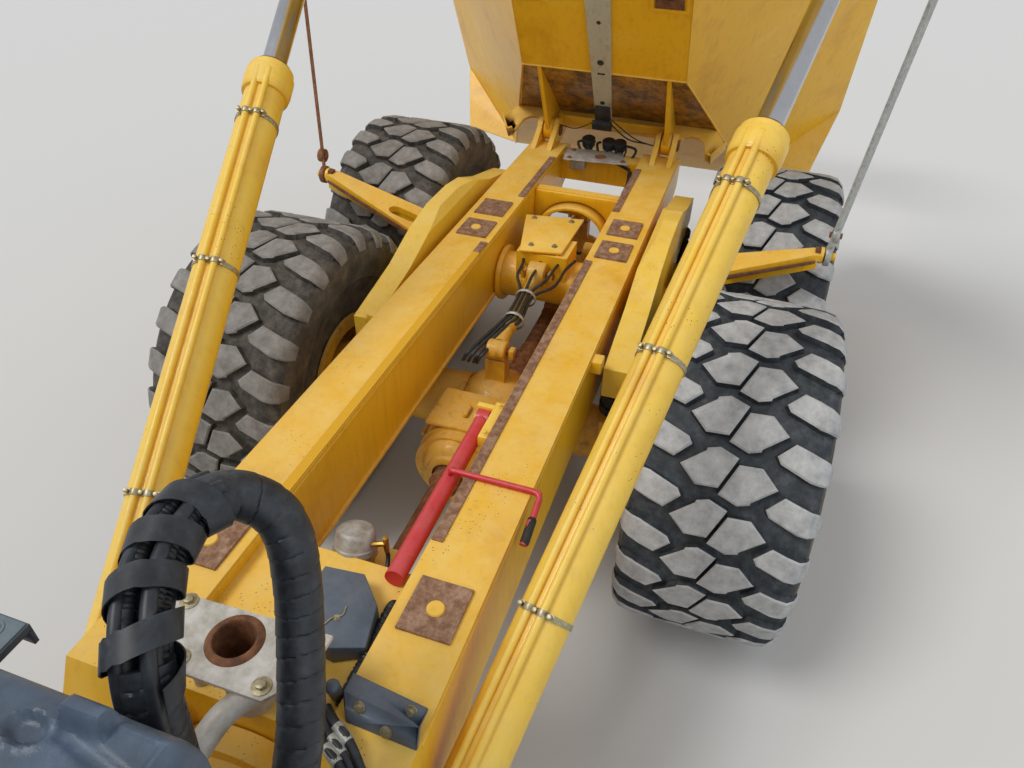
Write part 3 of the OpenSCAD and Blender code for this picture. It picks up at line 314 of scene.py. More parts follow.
def slab(bm, outline, along):
    """A plate: its outline's points in millimetres, pushed out by the vector along in millimetres."""
    face = bm.faces.new([bm.verts.new(at(*p)) for p in outline])
    grown = bmesh.ops.extrude_face_region(bm, geom=[face])["geom"]
    bmesh.ops.translate(bm, verts=verts_in(grown), vec=Vector(along) / 1000)


def turned_shape(bm, outline, start_point, direction, sides=48):
    """Spins an outline of (distance along, radius) in millimetres about the line from start_point."""
    base, line = at(*start_point), Vector(direction).normalized()
    out = line.orthogonal().normalized()
    verts = [bm.verts.new(base + line * d / 1000 + out * max(r, 0.01) / 1000) for d, r in outline]
    edges = [bm.edges.new(pair) for pair in zip(verts, verts[1:])]
    bmesh.ops.spin(bm, geom=verts + edges, cent=base, axis=line, angle=2 * math.pi, steps=sides,
                   use_merge=True,
                   dvec=(0, 0, 0))


def tube(bm, path, radius, sides=16, swell=None):
    """Pushes a ring along a path in millimetres. swell(length so far, angle) scales its radius."""
    points = [at(*p) for p in path]
    across = (points[1] - points[0]).orthogonal().normalized()
    ring, travelled = None, 0.0
    for i, point in enumerate(points):
        line = (points[min(i + 1, len(points) - 1)] - points[max(i - 1, 0)]).normalized()
        across = (across - line * across.dot(line)).normalized()
        side = line.cross(across)
        if i:
            travelled += (point - points[i - 1]).length
        spots = []
        for k in range(sides):
            angle = 2 * math.pi * k / sides
            r = radius / 1000 * (swell(travelled, angle) if swell else 1)
            spots.append(point + r * (math.cos(angle) * across + math.sin(angle) * side))
        if ring is None:
            verts = [bm.verts.new(s) for s in spots]
            bm.faces.new(verts[::-1])
            ring = verts
        else:
            loop = [bm.edges.get((ring[k], ring[(k + 1) % sides])) for k in range(sides)]
            grown = bmesh.ops.extrude_edge_only(bm, edges=loop)["geom"]
            partner = {}
            for v in verts_in(grown):
                for e in v.link_edges:
                    other = e.other_vert(v)
                    if other in ring:
                        partner[other] = v
            ring = [partner[v] for v in ring]
            for v, s in zip(ring, spots):
                v.co = s
    bm.faces.new(ring)


def smooth_path(points, spacing=20):
    """Evenly spaced points on a smooth curve through the given ones, in millimetres."""
    p = [Vector(q) for q in points]
    p = [2 * p[0] - p[1]] + p + [2 * p[-1] - p[-2]]
    dense = []
    for a, b, c, d in zip(p, p[1:], p[2:], p[3:]):
        for i in range(24):
            t = i / 24
            dense.append(0.5 * (2 * b + (c - a) * t + (2 * a - 5 * b + 4 * c - d) * t * t
                                + (3 * b - a - 3 * c + d) * t ** 3))
    dense.append(p[-2])
    even, carried = [dense[0]], 0.0
    for a, b in zip(dense, dense[1:]):
        carried += (b - a).length
        if carried >= spacing:
            even.append(b)
            carried = 0.0
    even[-1] = dense[-1]
    return even


def bolt_heads(bm, spots, direction, r=16, high=12, washer=0):
    """Hexagon heads, each on a washer if asked, standing on their spots."""
    line = Vector(direction).normalized()
    for spot in spots:
        foot = Vector(spot)
        if washer:
            rod(bm, foot - line * 2, foot + line * 4, washer, sides=20)
        rod(bm, foot - line * 2, foot + line * (high + (4 if washer else 0)), r, sides=6)


def bent_edges(bm, degrees):
    """Edges where two faces meet at more than an angle."""
    return [e for e in bm.edges if len(e.link_faces) == 2 and e.calc_face_angle(0) > math.radians(degrees)]


def finished(bm, name, body, finish, edge=0.0, segments=2, replaces=()):
    """Turns the mesh into a piece that rides on a body, with its edges rounded by edge millimetres."""
    bmesh.ops.remove_doubles(bm, verts=bm.verts, dist=0.00005)
    bmesh.ops.recalc_face_normals(bm, faces=bm.faces)
    if edge:
        bmesh.ops.bevel(bm, geom=bent_edges(bm, 40), offset=edge / 1000, segments=segments, profile=0.5,
                        affect="EDGES", material=-1, clamp_overlap=True)
    for part in bm.faces[:] + bm.edges[:]:
        part.smooth = True
    for e in bent_edges(bm, 35):
        e.smooth = False
    mesh = bpy.data.meshes.new(name)
    bm.to_mesh(mesh)
    bm.free()
    piece = bpy.data.objects.new(name, mesh)
    bpy.context.scene.collection.objects.link(piece)
    materials = finish if isinstance(finish, list) else [finish]
    for m in materials:
        mesh.materials.append(m)
    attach(piece, body)
    if replaces:
        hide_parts(*replaces)


SIDES = (("left", 1), ("right", -1))
AXLES = (("front", 4518), ("mid", 0), ("rear", -1940))

# Finishes of the CAD nodes

FINISH = {
    yellow_enamel: ["rear_frame", "hoist_pins", "outrigger_arms", "hitch", "body_floor", "body_sides",
                    "body_front_wall", "tailgate", "hood", "front_frame", "handrails"],
    pale_enamel: ["walking_beams", "hoist_barrel_left", "hoist_barrel_right"],
    grimy_enamel: ["bogie_axles", "control_rods", "front_axle", "steer_barrel_left", "steer_barrel_right",
                   "body_underframe"] + [f"rim_{axle}_{word}" for axle, _ in AXLES for word, _ in SIDES],
    slate_enamel: ["bumper", "fenders", "tanks", "cab_shell", "door", "canister", "rear_cover"],
    red_enamel: ["body_prop"],
    wear_steel: ["wear_plates"],
    rusty_steel: ["rear_shafts"],
    rusty_rod: ["tail_link_right"],
    galvanised: ["tail_link_left"],
    dusty_plate: ["outlet_plate"],
    rod_chrome: ["hoist_rod_left", "hoist_rod_right", "steer_rod_left", "steer_rod_right"],
    black_rubber: ["rubber_springs", "hose_bundle"],
    black_iron: ["engine", "grille"],
    black_trim: ["cab_interior"],
    glass: ["cab_glass", "door_glass"],
}
for finish, names in FINISH.items():
    for name in names:
        nodes[name].data.materials.clear()
        nodes[name].data.materials.append(finish)

# Tyres

TYRE_R, TRACK_HALF = 945, 1368.5
PITCHES = 24
# Outlines of a centre lug and a shoulder lug: distance along the tread's section, and round the tyre, in
# millimetres. The other half of the tread repeats them turned by half a turn.
CENTRE_LUG = [(36, -186), (138, -193), (221, -112), (118, -29), (115, -16), (61, 1), (-29, -33)]
SHOULDER_LUG = [(186, -15), (257, -87), (387, -48), (450, -40), (512, -26), (514, 58), (450, 76),
                (388, 76), (346, 71),
                (206, 18)]
# Section of the lug faces: distance along it from the middle, place across the tyre, radius
CROWN = [(0, 0, 945), (220, 220, 945), (330, 329, 942), (390, 386, 929), (440, 421, 896), (480, 436, 860),
         (520, 443, 821)]


def on_crown(reach, rise):
    """Place across the tyre and radius, at a distance along the section and rise above it."""
    for (a, ya, ra), (b, yb, rb) in zip(CROWN, CROWN[1:]):
        if abs(reach) <= b:
            break
    share = (abs(reach) - a) / (b - a)
    out = Vector((ra - rb, yb - ya)).normalized()
    return (math.copysign(ya + (yb - ya) * share + out.x * rise, reach),
            ra + (rb - ra) * share + out.y * rise)


def tyre(name, station, side, faces, grooves):
    """Carcass spun from its section, and four staggered rows of lugs."""
    bm = bmesh.new()
    for outline in (CENTRE_LUG, SHOULDER_LUG):
        for sign in (1, -1):
            flat = [bm.verts.new((sign * x / 1000, sign * s / 1000, 0)) for x, s in outline]
            base = bm.faces.new(flat)
            grown = bmesh.ops.extrude_face_region(bm, geom=[base])["geom"]
            top = verts_in(grown)
            cap = [g for g in grown if isinstance(g, bmesh.types.BMFace)]
            middle = sum((v.co for v in top), Vector()) / len(top)
            for v in top:
                v.co.z = 0.039
            for v in flat:
                v.co = middle + (v.co - middle) * 1.08
                v.co.z = -0.012
            for f in bm.faces:
                if any(v in flat for v in f.verts):
                    f.material_index = 1
            rim = bmesh.ops.inset_region(bm, faces=cap, thickness=0.009, use_even_offset=True)["faces"]
            for f in rim:
                f.material_index = 0
            for v in {v for f in cap for v in f.verts}:
                v.co.z = 0.046
    bmesh.ops.delete(bm, geom=[f for f in bm.faces if all(v.co.z < 0 for v in f.verts)], context="FACES")
    # Cuts that let the shoulder lugs bend with the section
    for reach, _, _ in CROWN[2:-1]:
        for sign in (1, -1):
            bmesh.ops.bisect_plane(bm, geom=bm.verts[:] + bm.edges[:] + bm.faces[:], dist=1e-6,
                                   plane_co=(sign * reach / 1000, 0, 0), plane_no=(1, 0, 0))
    # Wrap: the first distance follows the section, and the second becomes an angle
    for v in bm.verts:
        angle = v.co.y / (TYRE_R / 1000)
        y, r = on_crown(v.co.x * 1000, v.co.z * 1000 - 46)
        v.co = Vector((r * math.sin(angle), y, r * math.cos(angle))) / 1000
    bmesh.ops.spin(bm, geom=bm.verts[:] + bm.edges[:] + bm.faces[:], cent=(0, 0, 0), axis=(0, 1, 0),
                   dvec=(0, 0, 0),
                   angle=2 * math.pi * (PITCHES - 1) / PITCHES, steps=PITCHES - 1, use_duplicate=True)
    # Carcass, from one bead round to the other, with ribs on its walls
    half = [(372, 300), (372, 338), (400, 348), (430, 346), (514, 356), (600, 388), (640, 404), (648, 412),
            (662, 412), (672, 414), (740, 430), (790, 436), (830, 430), (862, 414), (884, 388), (897, 350),
            (903, 280), (905, 120)]
    section = [(r, y) for r, y in half] + [(r, -y) for r, y in reversed(half)]
    verts = [bm.verts.new((0, y / 1000, r / 1000)) for r, y in section]
    edges = [bm.edges.new(pair) for pair in zip(verts, verts[1:] + verts[:1])]
    before = set(bm.faces)
    bmesh.ops.spin(bm, geom=verts + edges, cent=(0, 0, 0), axis=(0, 1, 0), dvec=(0, 0, 0), angle=2 * math.pi,
                   steps=96, use_merge=True)
    for f in bm.faces:
        if f not in before:
            r = math.hypot(f.calc_center_median().x, f.calc_center_median().z)
            f.material_index = 2 if r < 0.85 else 1
    bmesh.ops.translate(bm, verts=bm.verts, vec=at(station, side * TRACK_HALF, TYRE_R))
    finished(bm, f"{name}_tread", f"wheel_{name}", [faces, grooves, wall_rubber], replaces=[f"tyre_{name}"])


for axle, station in AXLES:
    for word, side in SIDES:
        pale = side > 0
        tyre(f"{axle}_{word}", station, side, lug_face_rubber if pale else lug_face_brown,
             groove_rubber if pale else groove_brown)

# Hoist cylinders: the oil pipe along each barrel, its clamps and the gland

HOIST_PIN, HOIST_EYE = Vector((2590, 668, 1165)), Vector((-2209, 1656, 4245))
BARREL = 3087

for word, side in SIDES:
    pin, eye = HOIST_PIN * 1, HOIST_EYE * 1
    pin.y, eye.y = pin.y * side, eye.y * side
    line = (eye - pin).normalized()
    # The pipes lie on the side that faces up and forward
    out = (Vector((0.6, -0.25 * side, 0.8)) - line * line.dot(Vector((0.6, -0.25 * side, 0.8)))).normalized()
    across = line.cross(out)
    bm = bmesh.new()
    for shift in (-26, 26):
        start_at = pin + line * 330 + out * 104 + across * shift
        stop_at = pin + line * (BARREL - 190) + out * 104 + across * shift
        tube(bm, smooth_path([start_at - out * 60 - line * 40, start_at - out * 16, start_at + line * 60,
                              stop_at - line * 60, stop_at - out * 10, stop_at - out * 60 + line * 30], 60), 15, 12)
    # Gland nut with its flats, and the flange round the barrel's end
    turned_shape(bm, [(BARREL - 160, 96), (BARREL - 160, 112), (BARREL - 120, 118), (BARREL - 40, 118),
                      (BARREL - 34, 108), (BARREL - 6, 108), (BARREL + 4, 100), (BARREL + 4, 62)], pin, line)
    finished(bm, f"hoist_pipes_{word}", f"hoist_barrel_{word}", pale_enamel, edge=2)
    bm = bmesh.new()
    for place in (BARREL - 2160, BARREL - 1127, BARREL - 330):
        turned_shape(bm, [(place - 11, 98), (place - 11, 103), (place + 11, 103), (place + 11, 98)], pin,
                     line)
        foot = pin + line * place
        for shift in (-26, 26):
            rod(bm, foot + out * 104 + across * shift - line * 13,
                foot + out * 104 + across * shift + line * 13, 21)
        bolt_heads(bm, [foot + out * 98 + across * s for s in (-58, 0, 58)], out, 10, 22, 14)
    finished(bm, f"pipe_clamps_{word}", f"hoist_barrel_{word}", zinc_bolt, edge=1)
    bm = bmesh.new()
    turned_shape(bm, [(BARREL + 2, 60), (BARREL + 2, 92), (BARREL + 16, 92), (BARREL + 20, 76),
                      (BARREL + 34, 70),
                      (BARREL + 34, 60.5)], pin, line)
    finished(bm, f"gland_ring_{word}", f"hoist_barrel_{word}", rusty_steel, edge=1)

# Hose bundle: corrugated hoses inside a spiral wrap that has slipped open on the front unit's side

HOSE_ROUTE = [
    (2840, 220, 1950), (2840, 220, 2080), (2834, 228, 2220), (2824, 234, 2370), (2800, 225, 2480),
    (2740, 190, 2545), (2650, 145, 2575), (2550, 120, 2590), (2450, 120, 2588), (2370, 160, 2560),
    (2335, 225, 2500), (2345, 270, 2420), (2390, 300, 2300), (2440, 320, 2200), (2510, 350, 2110),
    (2590, 378, 2000), (2660, 380, 1870), (2718, 362, 1750), (2745, 340, 1650), (2745, 340, 1545)
]


def frames_along(path):
    """Point, direction, two directions across, and length so far, all in millimetres."""
    points = [Vector(p) for p in path]
    across, travelled, out = (points[1] - points[0]).orthogonal().normalized(), 0.0, []
    for i, point in enumerate(points):
        line = (points[min(i + 1, len(points) - 1)] - points[max(i - 1, 0)]).normalized()
        across = (across - line * across.dot(line)).normalized()
        if i:
            travelled += (point - points[i - 1]).length
        out.append((point, line, across, line.cross(across), travelled))
    return out


steps = frames_along(smooth_path(HOSE_ROUTE, 4))
OPEN_FROM, OPEN_TO = 530, 960


def at_length(length):
    """The step of the bundle nearest a length along it."""
    return min(steps, key=lambda s: abs(s[4] - length))


def ribbon(bm, from_length, to_length, pitch, wide, radius, thick, phase=0.0, wander=0.0):
    """A flat strip wound round the bundle: an edge pushed along a helix and thickened."""
    turns = (to_length - from_length) / pitch
    count = int(turns * 28)
    edge = None
    for i in range(count + 1):
        angle = 2 * math.pi * turns * i / count + phase
        point, line, across, side, _ = at_length(from_length + (to_length - from_length) * i / count)
        out = math.cos(angle) * across + math.sin(angle) * side
        r = radius * (1 + wander * math.sin(1.7 * angle + 0.6))
        tilt = 0.06 * math.sin(0.8 * angle)
        ends = [point + out * (r * (1 + s * tilt)) + line * (s * wide / 2) for s in (-1, 1)]
        if edge is None:
            verts = [bm.verts.new(at(*p)) for p in ends]
            edge = bm.edges.new(verts)
            pair = verts
        else:
            grown = bmesh.ops.extrude_edge_only(bm, edges=[edge])["geom"]
            fresh = verts_in(grown)
            ordered = [next(v for v in fresh if any(e.other_vert(v) is old for e in v.link_edges))
                       for old in pair]
            for v, p in zip(ordered, ends):
                v.co = at(*p)
            pair = ordered
            edge = bm.edges.get(pair)
    bmesh.ops.recalc_face_normals(bm, faces=bm.faces)
    bmesh.ops.solidify(bm, geom=bm.faces[:], thickness=thick / 1000)


def lane(turn, offset, stop):
    """A way beside the bundle's middle, at an angle round it, as far as stop."""
    return [p + (math.cos(turn) * a + math.sin(turn) * s) * offset for p, _, a, s, t in steps if t <= stop]


bm = bmesh.new()
for k, (r, offset) in enumerate(((23, 34), (21, 36), (24, 33), (20, 37))):
    tube(bm, lane(math.pi * k / 2 + 0.5, offset, OPEN_TO + 60), r, 14,
         lambda length, angle: 1 + 0.07 * math.sin(2 * math.pi * length / 0.012))
finished(bm, "corrugated_hoses", "hitch", hose_rubber)

bm = bmesh.new()
for turn, offset, wide in ((0.2, 56, 17), (2.2, 56, 15), (3.1, 52, 13), (4.0, 56, 18), (5.2, 54, 16)):
    tube(bm, lane(turn, offset, OPEN_TO + 40)[::3], wide, 12)
finished(bm, "smooth_hoses", "hitch", wrap_plastic)

bm = bmesh.new()
ribbon(bm, OPEN_FROM - 20, OPEN_TO + 20, 104, 64, 78, 3.5, phase=0.4, wander=0.03)
finished(bm, "open_wrap", "hitch", wrap_plastic)


def lapped(pitch):
    """Radius of a wrap whose turns lap: it rises along each turn, and drops in a groove at the seam."""
    def share(length, angle):
        turn = (length * 1000 / pitch - angle / (2 * math.pi)) % 1.0
        return 0.94 if turn < 0.08 else 0.985 + 0.03 * turn
    return share


bm = bmesh.new()
tube(bm, [s[0] for s in steps if s[4] <= OPEN_FROM + 30], 62, 40, lapped(38))
finished(bm, "lower_wrap", "hitch", wrap_plastic)
bm = bmesh.new()
tube(bm, [s[0] for s in steps if s[4] >= OPEN_TO - 30], 62, 40, lapped(56))
finished(bm, "tight_wrap", "hitch", wrap_plastic, replaces=["hose_bundle"])

# Plate of the exhaust outlet: a rusty collar in its hole, bolts on big washers, and the pipe under it

bm = bmesh.new()
turned_shape(bm, [(-250, 61.5), (16, 61.5), (24, 66), (24, 74), (18, 84), (14, 90), (14, 61.6)],
             (2390, 20, 1900),
             (0, 0, 1))
finished(bm, "outlet_collar", "rear_unit", rusty_steel, edge=1.5)
bm = bmesh.new()
bolt_heads(bm, [(2320, -195, 1914), (2312, 235, 1914), (2492, -95, 1914), (2492, 178, 1914)], (0, 0, 1),
           17, 14, 30)
finished(bm, "outlet_bolts", "rear_unit", zinc_bolt, edge=1)
bm = bmesh.new()
tube(bm, smooth_path([(2430, 190, 1850), (2500, 130, 1852), (2580, 92, 1850), (2680, 78, 1830),
                      (2760, 60, 1790)],
                     20), 38, 28)
slab(bm, [(2395, 285, 1914), (2450, 262, 1914), (2450, 262, 1860), (2395, 285, 1860)], (12, 26, 0))
finished(bm, "outlet_pipe", "rear_unit", dusty_plate, edge=2)

# Dust blower of the air cleaner, its clamp, rubber boot and brass fitting

bm = bmesh.new()
turned_shape(bm, [(0, 60), (8, 78), (70, 80), (74, 84), (96, 84), (100, 80), (150, 78), (166, 66),
                  (172, 30), (172, 0)],
             (1740, 20, 1500), (-0.35, -0.02, 1))
finished(bm, "blower_housing", "rear_unit", cast_grey, edge=2)
bm = bmesh.new()
turned_shape(bm, [(0, 70), (-6, 84), (-34, 88), (-48, 80), (-90, 86), (-120, 84), (-130, 60), (-130, 0)],
             (1745, 20, 1520), (-0.35, -0.02, 1))
finished(bm, "blower_boot", "rear_unit", black_rubber, edge=3)
bm = bmesh.new()
turned_shape(bm, [(60, 84), (60, 89), (78, 89), (78, 84)], (1740, 20, 1500), (-0.35, -0.02, 1))
bolt_heads(bm, [(1806, -20, 1570), (1800, 10, 1575)], (1, -0.3, 0.3), 9, 20)
finished(bm, "blower_clamp", "rear_unit", zinc_bolt, edge=1)
bm = bmesh.new()
rod(bm, (1715, 95, 1625), (1705, 150, 1640), 11, sides=6)
rod(bm, (1700, 150, 1615), (1700, 150, 1672), 13, sides=6)
rod(bm, (1700, 150, 1615), (1700, 150, 1590), 10, sides=16)
finished(bm, "brass_elbow", "rear_unit", brass, edge=1)
bm = bmesh.new()
tube(bm, smooth_path([(1700, 150, 1600), (1705, 155, 1560), (1760, 175, 1530), (1830, 230, 1560),
                      (1870, 285, 1600)],
                     12), 9, 12)
finished(bm, "blower_hose", "rear_unit", wrap_plastic)

# Angular cover over the valve block, with a folded face, a rivet and a bent wire


def skirted(bm, z):
    """Drops walls from the open edges to a height in millimetres, and closes them below."""
    grown = bmesh.ops.extrude_edge_only(bm, edges=[e for e in bm.edges if len(e.link_faces) == 1])["geom"]
    for v in verts_in(grown):
        v.co.z = z / 1000
    bmesh.ops.contextual_create(bm, geom=[e for e in bm.edges if len(e.link_faces) == 1])


bm = bmesh.new()
outline = [(1907, 12, 1690), (1893, 166, 1692), (1996, 268, 1690), (2150, 300, 1672), (2204, 197, 1694),
           (2180, 60, 1694), (2003, 15, 1696)]
lid = bm.faces.new([bm.verts.new(at(*p)) for p in outline])
bmesh.ops.poke(bm, faces=[lid])
middle = max(bm.verts, key=lambda v: len(v.link_edges))
middle.co = at(2070, 190, 1698)
skirted(bm, 1608)
finished(bm, "valve_cover", "rear_unit", slate_enamel, edge=5, replaces=["canister"])
bm = bmesh.new()
bolt_heads(bm, [(2095, 165, 1696)], (0, 0, 1), 8, 5, 12)
tube(bm, smooth_path([(2045, 175, 1702), (2080, 180, 1702), (2105, 150, 1702), (2130, 140, 1700),
                      (2150, 120, 1698)],
                     8), 2.4, 8)
finished(bm, "cover_rivet", "rear_unit", zinc_bolt)

# Spiral-guarded hose along the rail, and the valve bracket ahead of the box

bm = bmesh.new()
tube(bm, smooth_path([(1900, 285, 1560), (1940, 290, 1612), (2036, 294, 1622), (2140, 300, 1622),
                      (2230, 300, 1622),
                      (2330, 290, 1590)], 5), 20, 16,
     lambda length, angle: 0.9 + 0.2 * (((length * 1000 / 14 - angle / (2 * math.pi)) % 1.0) < 0.6))
finished(bm, "guarded_hose", "rear_unit", hose_rubber)
bm = bmesh.new()
slab(bm, [(2346, 334, 1752), (2378, 603, 1752), (2410, 603, 1671), (2400, 361, 1671)], (-12, 0, -8))
slab(bm, [(2346, 334, 1752), (2378, 603, 1752), (2312, 603, 1749), (2282, 334, 1749)], (0, 0, -12))
rod(bm, (2298, 270, 1606), (2345, 296, 1746), 23)
ball(bm, (2345, 296, 1746), 25, (1, 1, 0.7))
finished(bm, "valve_bracket", "rear_unit", slate_enamel, edge=4)
bm = bmesh.new()
bolt_heads(bm, [(2368, 400, 1728), (2398, 500, 1697), (2340, 560, 1750)], (0.82, -0.08, 0.56), 13, 10, 20)
finished(bm, "bracket_bolts", "rear_unit", zinc_bolt, edge=1)
# Hoses in pale sleeves that run forward over the rail's end
bm = bmesh.new()
sleeves = bmesh.new()
for k, (shift, wide) in enumerate(((0, 15), (36, 12), (66, 14))):
    way = [(2392 + 0.6 * shift, 300, 1706), (2434 + shift, 352, 1724), (2477 + shift, 428, 1718),
           (2560 + 0.8 * shift, 520, 1650), (2640 + 0.5 * shift, 570, 1500), (2706, 600 - 0.3 * shift, 1336)]
    tube(bm, smooth_path(way, 12), wide, 14)
    tube(sleeves, [Vector(way[1]).lerp(Vector(way[2]), t) for t in (0.12, 0.5, 0.88)], wide + 4, 16)
finished(bm, "valve_hoses", "rear_unit", hose_rubber)
finished(sleeves, "hose_sleeves", "rear_unit", galvanised, edge=2)

# Moulded cover behind the cab: a lid with raised bosses, pressed grooves and oval recesses, and the flat
# panel beside it

COVER_BACK, COVER_MIDDLE, COVER_LONG, COVER_HALF = 2908, -70, 590, 530


def eased(low, high, value):
    """Rises smoothly from 0 at low to 1 at high."""
    share = min(1.0, max(0.0, (value - low) / (high - low)))
    return share * share * (3 - 2 * share)


def off_segment(x, y, a, b):
    """Distance of a place from the segment between two others."""
    far, wide = b[0] - a[0], b[1] - a[1]
    along = min(1.0, max(0.0, ((x - a[0]) * far + (y - a[1]) * wide) / (far ** 2 + wide ** 2)))
    return math.hypot(x - a[0] - along * far, y - a[1] - along * wide)


def lid_height(x, y):
    """Height of the lid, x millimetres from its back edge and y from its middle."""
    y = abs(y)
    if x < 50:
        z = 2530 + 60 * math.sqrt(1 - (1 - x / 50) ** 2)
    elif x < 560:
        z = 2590 + 20 * (x - 50) / 510
    else:
        z = 2570 + 40 * math.sqrt(max(0.0, 1 - ((x - 560) / 30) ** 2))
    margin = COVER_HALF - y
    if margin < 30:
        z -= 30 - math.sqrt(900 - (30 - margin) ** 2)
    # Boss with a flat top and steep sides
    reach = max(abs(x - 38) - 14, abs(y - 338) - 40)
    z += 44 * (1 - eased(0, 16, reach)) * eased(0, 16, x)
    # Raised border that follows the lid's edge
    border = min(off_segment(x, y, (30, 400), (30, 496)), off_segment(x, y, (30, 496), (545, 500)))
    z += 8 * (1 - eased(5, 14, border))
    # Long groove, and the oval recess with its lip
    z -= 10 * (1 - eased(6, 22, off_segment(x, y, (76, 300), (112, 470))))
    oval = math.hypot((x - 92) / 30, (y - 245) / 46)
    z += 5 * (1 - eased(0.0, 0.25, abs(oval - 1.15))) - 15 * (1 - eased(0.6, 1.0, oval))
    # Broad shallow panel over the rest
    panel = max(abs(x - 350) - 170, abs(y - 230) - 200)
    return z + 7 * (1 - eased(0, 14, panel))


bm = bmesh.new()
bmesh.ops.create_grid(bm, x_segments=84, y_segments=140, size=0.5)
for v in bm.verts:
    x, y = (v.co.x + 0.5) * COVER_LONG, v.co.y * 2 * COVER_HALF
    v.co = at(COVER_BACK + x, COVER_MIDDLE + y, lid_height(x, y))
skirted(bm, 2190)
finished(bm, "cover_shell", "front_unit", slate_plastic, replaces=["rear_cover"])
bm = bmesh.new()
for y in (-455, -300, -145, 10, 165, 320):
    slab(bm, [(2908, y - 40, 2300), (2908, y + 40, 2300), (2908, y + 40, 2480), (2908, y - 40, 2480)],
         (-10, 0, 0))
finished(bm, "cover_ribs", "front_unit", slate_plastic, edge=7, segments=3)
bm = bmesh.new()
block(bm, (2760, -760, 2402), (3460, -140, 2422))
block(bm, (2760, -760, 2360), (2772, -140, 2404))
block(bm, (2790, 140, 1920), (2990, 300, 1949))
block(bm, (2908, 140, 1920), (2948, 300, 2200))
block(bm, (3380, -400, 1561), (3440, 400, 2200))
for side in (-400, 340):
    block(bm, (3380, side, 1561), (3840, side + 60, 1980))
finished(bm, "cover_brackets", "front_unit", slate_enamel, edge=4)
bm = bmesh.new()
block(bm, (2764, -756, 2421), (3456, -144, 2427))
bolt_heads(bm, [(2800, -200, 2426), (2800, -560, 2426), (3300, -560, 2426)], (0, 0, 1), 14, 8, 24)
finished(bm, "panel_sheet", "front_unit", weathered_sheet, edge=2)

# Wear squares: the yellow centre left on each plate. Stops and lips of the rails, and the prop's bracket

bm = bmesh.new()
for side, stations in ((1, (1935, -875, -1205)), (-1, (1935, -875))):
    for x in stations:
        turned_shape(bm, [(0, 34), (6, 31), (7, 22), (5, 12), (6, 0)], (x + 4, side * 462, 1682.3),
                     (0, 0, 1), 20)
finished(bm, "wear_plugs", "rear_unit", yellow_enamel)
bm = bmesh.new()
for side in (1, -1):
    block(bm, (215, side * 600, 1585), (295, side * 662, 1655))
    # Lower plate's lip, inside the rail
    block(bm, (-2200, side * 298, 1236), (1700, side * 318, 1254))
    # Welded lip under each rail's upper plate, inside and out
    for y in (312, 602):
        block(bm, (-2560, side * y, 1628), (2380, side * (y + 7), 1654))
finished(bm, "rail_stops", "rear_unit", yellow_enamel, edge=6)
bm = bmesh.new()
block(bm, (770, 270, 1596), (1030, 313, 1662))
block(bm, (770, 180, 1560), (800, 313, 1640))
bolt_heads(bm, [(800, 292, 1662), (1000, 292, 1662)], (0, 0, 1), 12, 9, 18)
finished(bm, "prop_bracket", "rear_unit", pale_enamel, edge=4)

bm = bmesh.new()
tube(bm, smooth_path([(1258, 244, 1640), (1272, 246, 1668), (1290, 256, 1684.5), (1290, 300, 1684.5),
                      (1290, 560, 1684.5), (1292, 618, 1684.5), (1306, 643, 1679), (1345, 645, 1664),
                      (1402, 645, 1645)], 8), 13.5, 18)
slab(bm, [(1200, 236, 1620), (1262, 240, 1676), (1276, 240, 1676), (1320, 242, 1630)], (0, 10, 0))
finished(bm, "prop_handle", "body_prop", red_enamel, edge=1)
bm = bmesh.new()
tube(bm, [(1396, 645, 1647), (1404, 645, 1644.5), (1500, 645, 1613), (1508, 645, 1610)], 19, 18,
     lambda length, angle: 0.8 if length < 0.004 or length > 0.114 else 1)
finished(bm, "prop_grip", "body_prop", black_rubber)

# Cross tube: bearing collars, the shelf over the control rods, and its gussets

bm = bmesh.new()
for side in (1, -1):
    turned_shape(bm, [(0, 150), (0, 186), (26, 190), (40, 176), (46, 152)], (-970, side * 268, 1330),
                 (0, side, 0))
slab(bm, [(-1330, -262, 1590), (-1392, 140, 1590), (-860, 128, 1590), (-810, -140, 1590)], (0, 0, 16))
for y in (-110, 90):
    slab(bm, [(-1200, y, 1592), (-860, y, 1592), (-830, y, 1480), (-1000, y, 1470)], (0, 16, 0))
finished(bm, "tube_shelf", "rear_unit", yellow_enamel, edge=4)
bm = bmesh.new()
bolt_heads(bm, [(-1290, -190, 1606), (-1320, 70, 1606), (-930, 60, 1606), (-900, -90, 1606)], (0, 0, 1),
           13, 10, 20)
finished(bm, "shelf_bolts", "rear_unit", zinc_bolt, edge=1)

# Control rods: forged eyes with rubber bushes, clamped hoses, and the pins through them

for word, a, b in (("front", Vector((0, 0, 1385)), Vector((-765, 0, 1480))),
                   ("rear", Vector((-1940, 0, 1385)), Vector((-1175, 0, 1480)))):
    line = (b - a).normalized()
    bm = bmesh.new()
    turned_shape(bm, [(40, 50), (90, 42), (160, 34), (200, 42), (560, 42), (620, 34), (690, 44),
                      (720, 58)], a, line,
                 28)
    for end, wide in ((a, 60), (b, 78)):
        turned_shape(bm, [(-56, 0), (-56, wide - 8), (-50, wide), (50, wide), (56, wide - 8), (56, 0)],
                     end, (0, 1, 0))
    for end in (a, b):
        for y in (-104, 74):
            block(bm, (end.x - 26, y, end.z - 34), (end.x + 26, y + 30, end.z + 26))
    finished(bm, f"{word}_control_rod", "rear_unit", grimy_enamel, edge=3)
    bm = bmesh.new()
    for end in (a, b):
        rod(bm, end + Vector((0, -112, 0)), end + Vector((0, 112, 0)), 24, sides=6)
    finished(bm, f"{word}_rod_pins", "rear_unit", rusty_rod, edge=2)

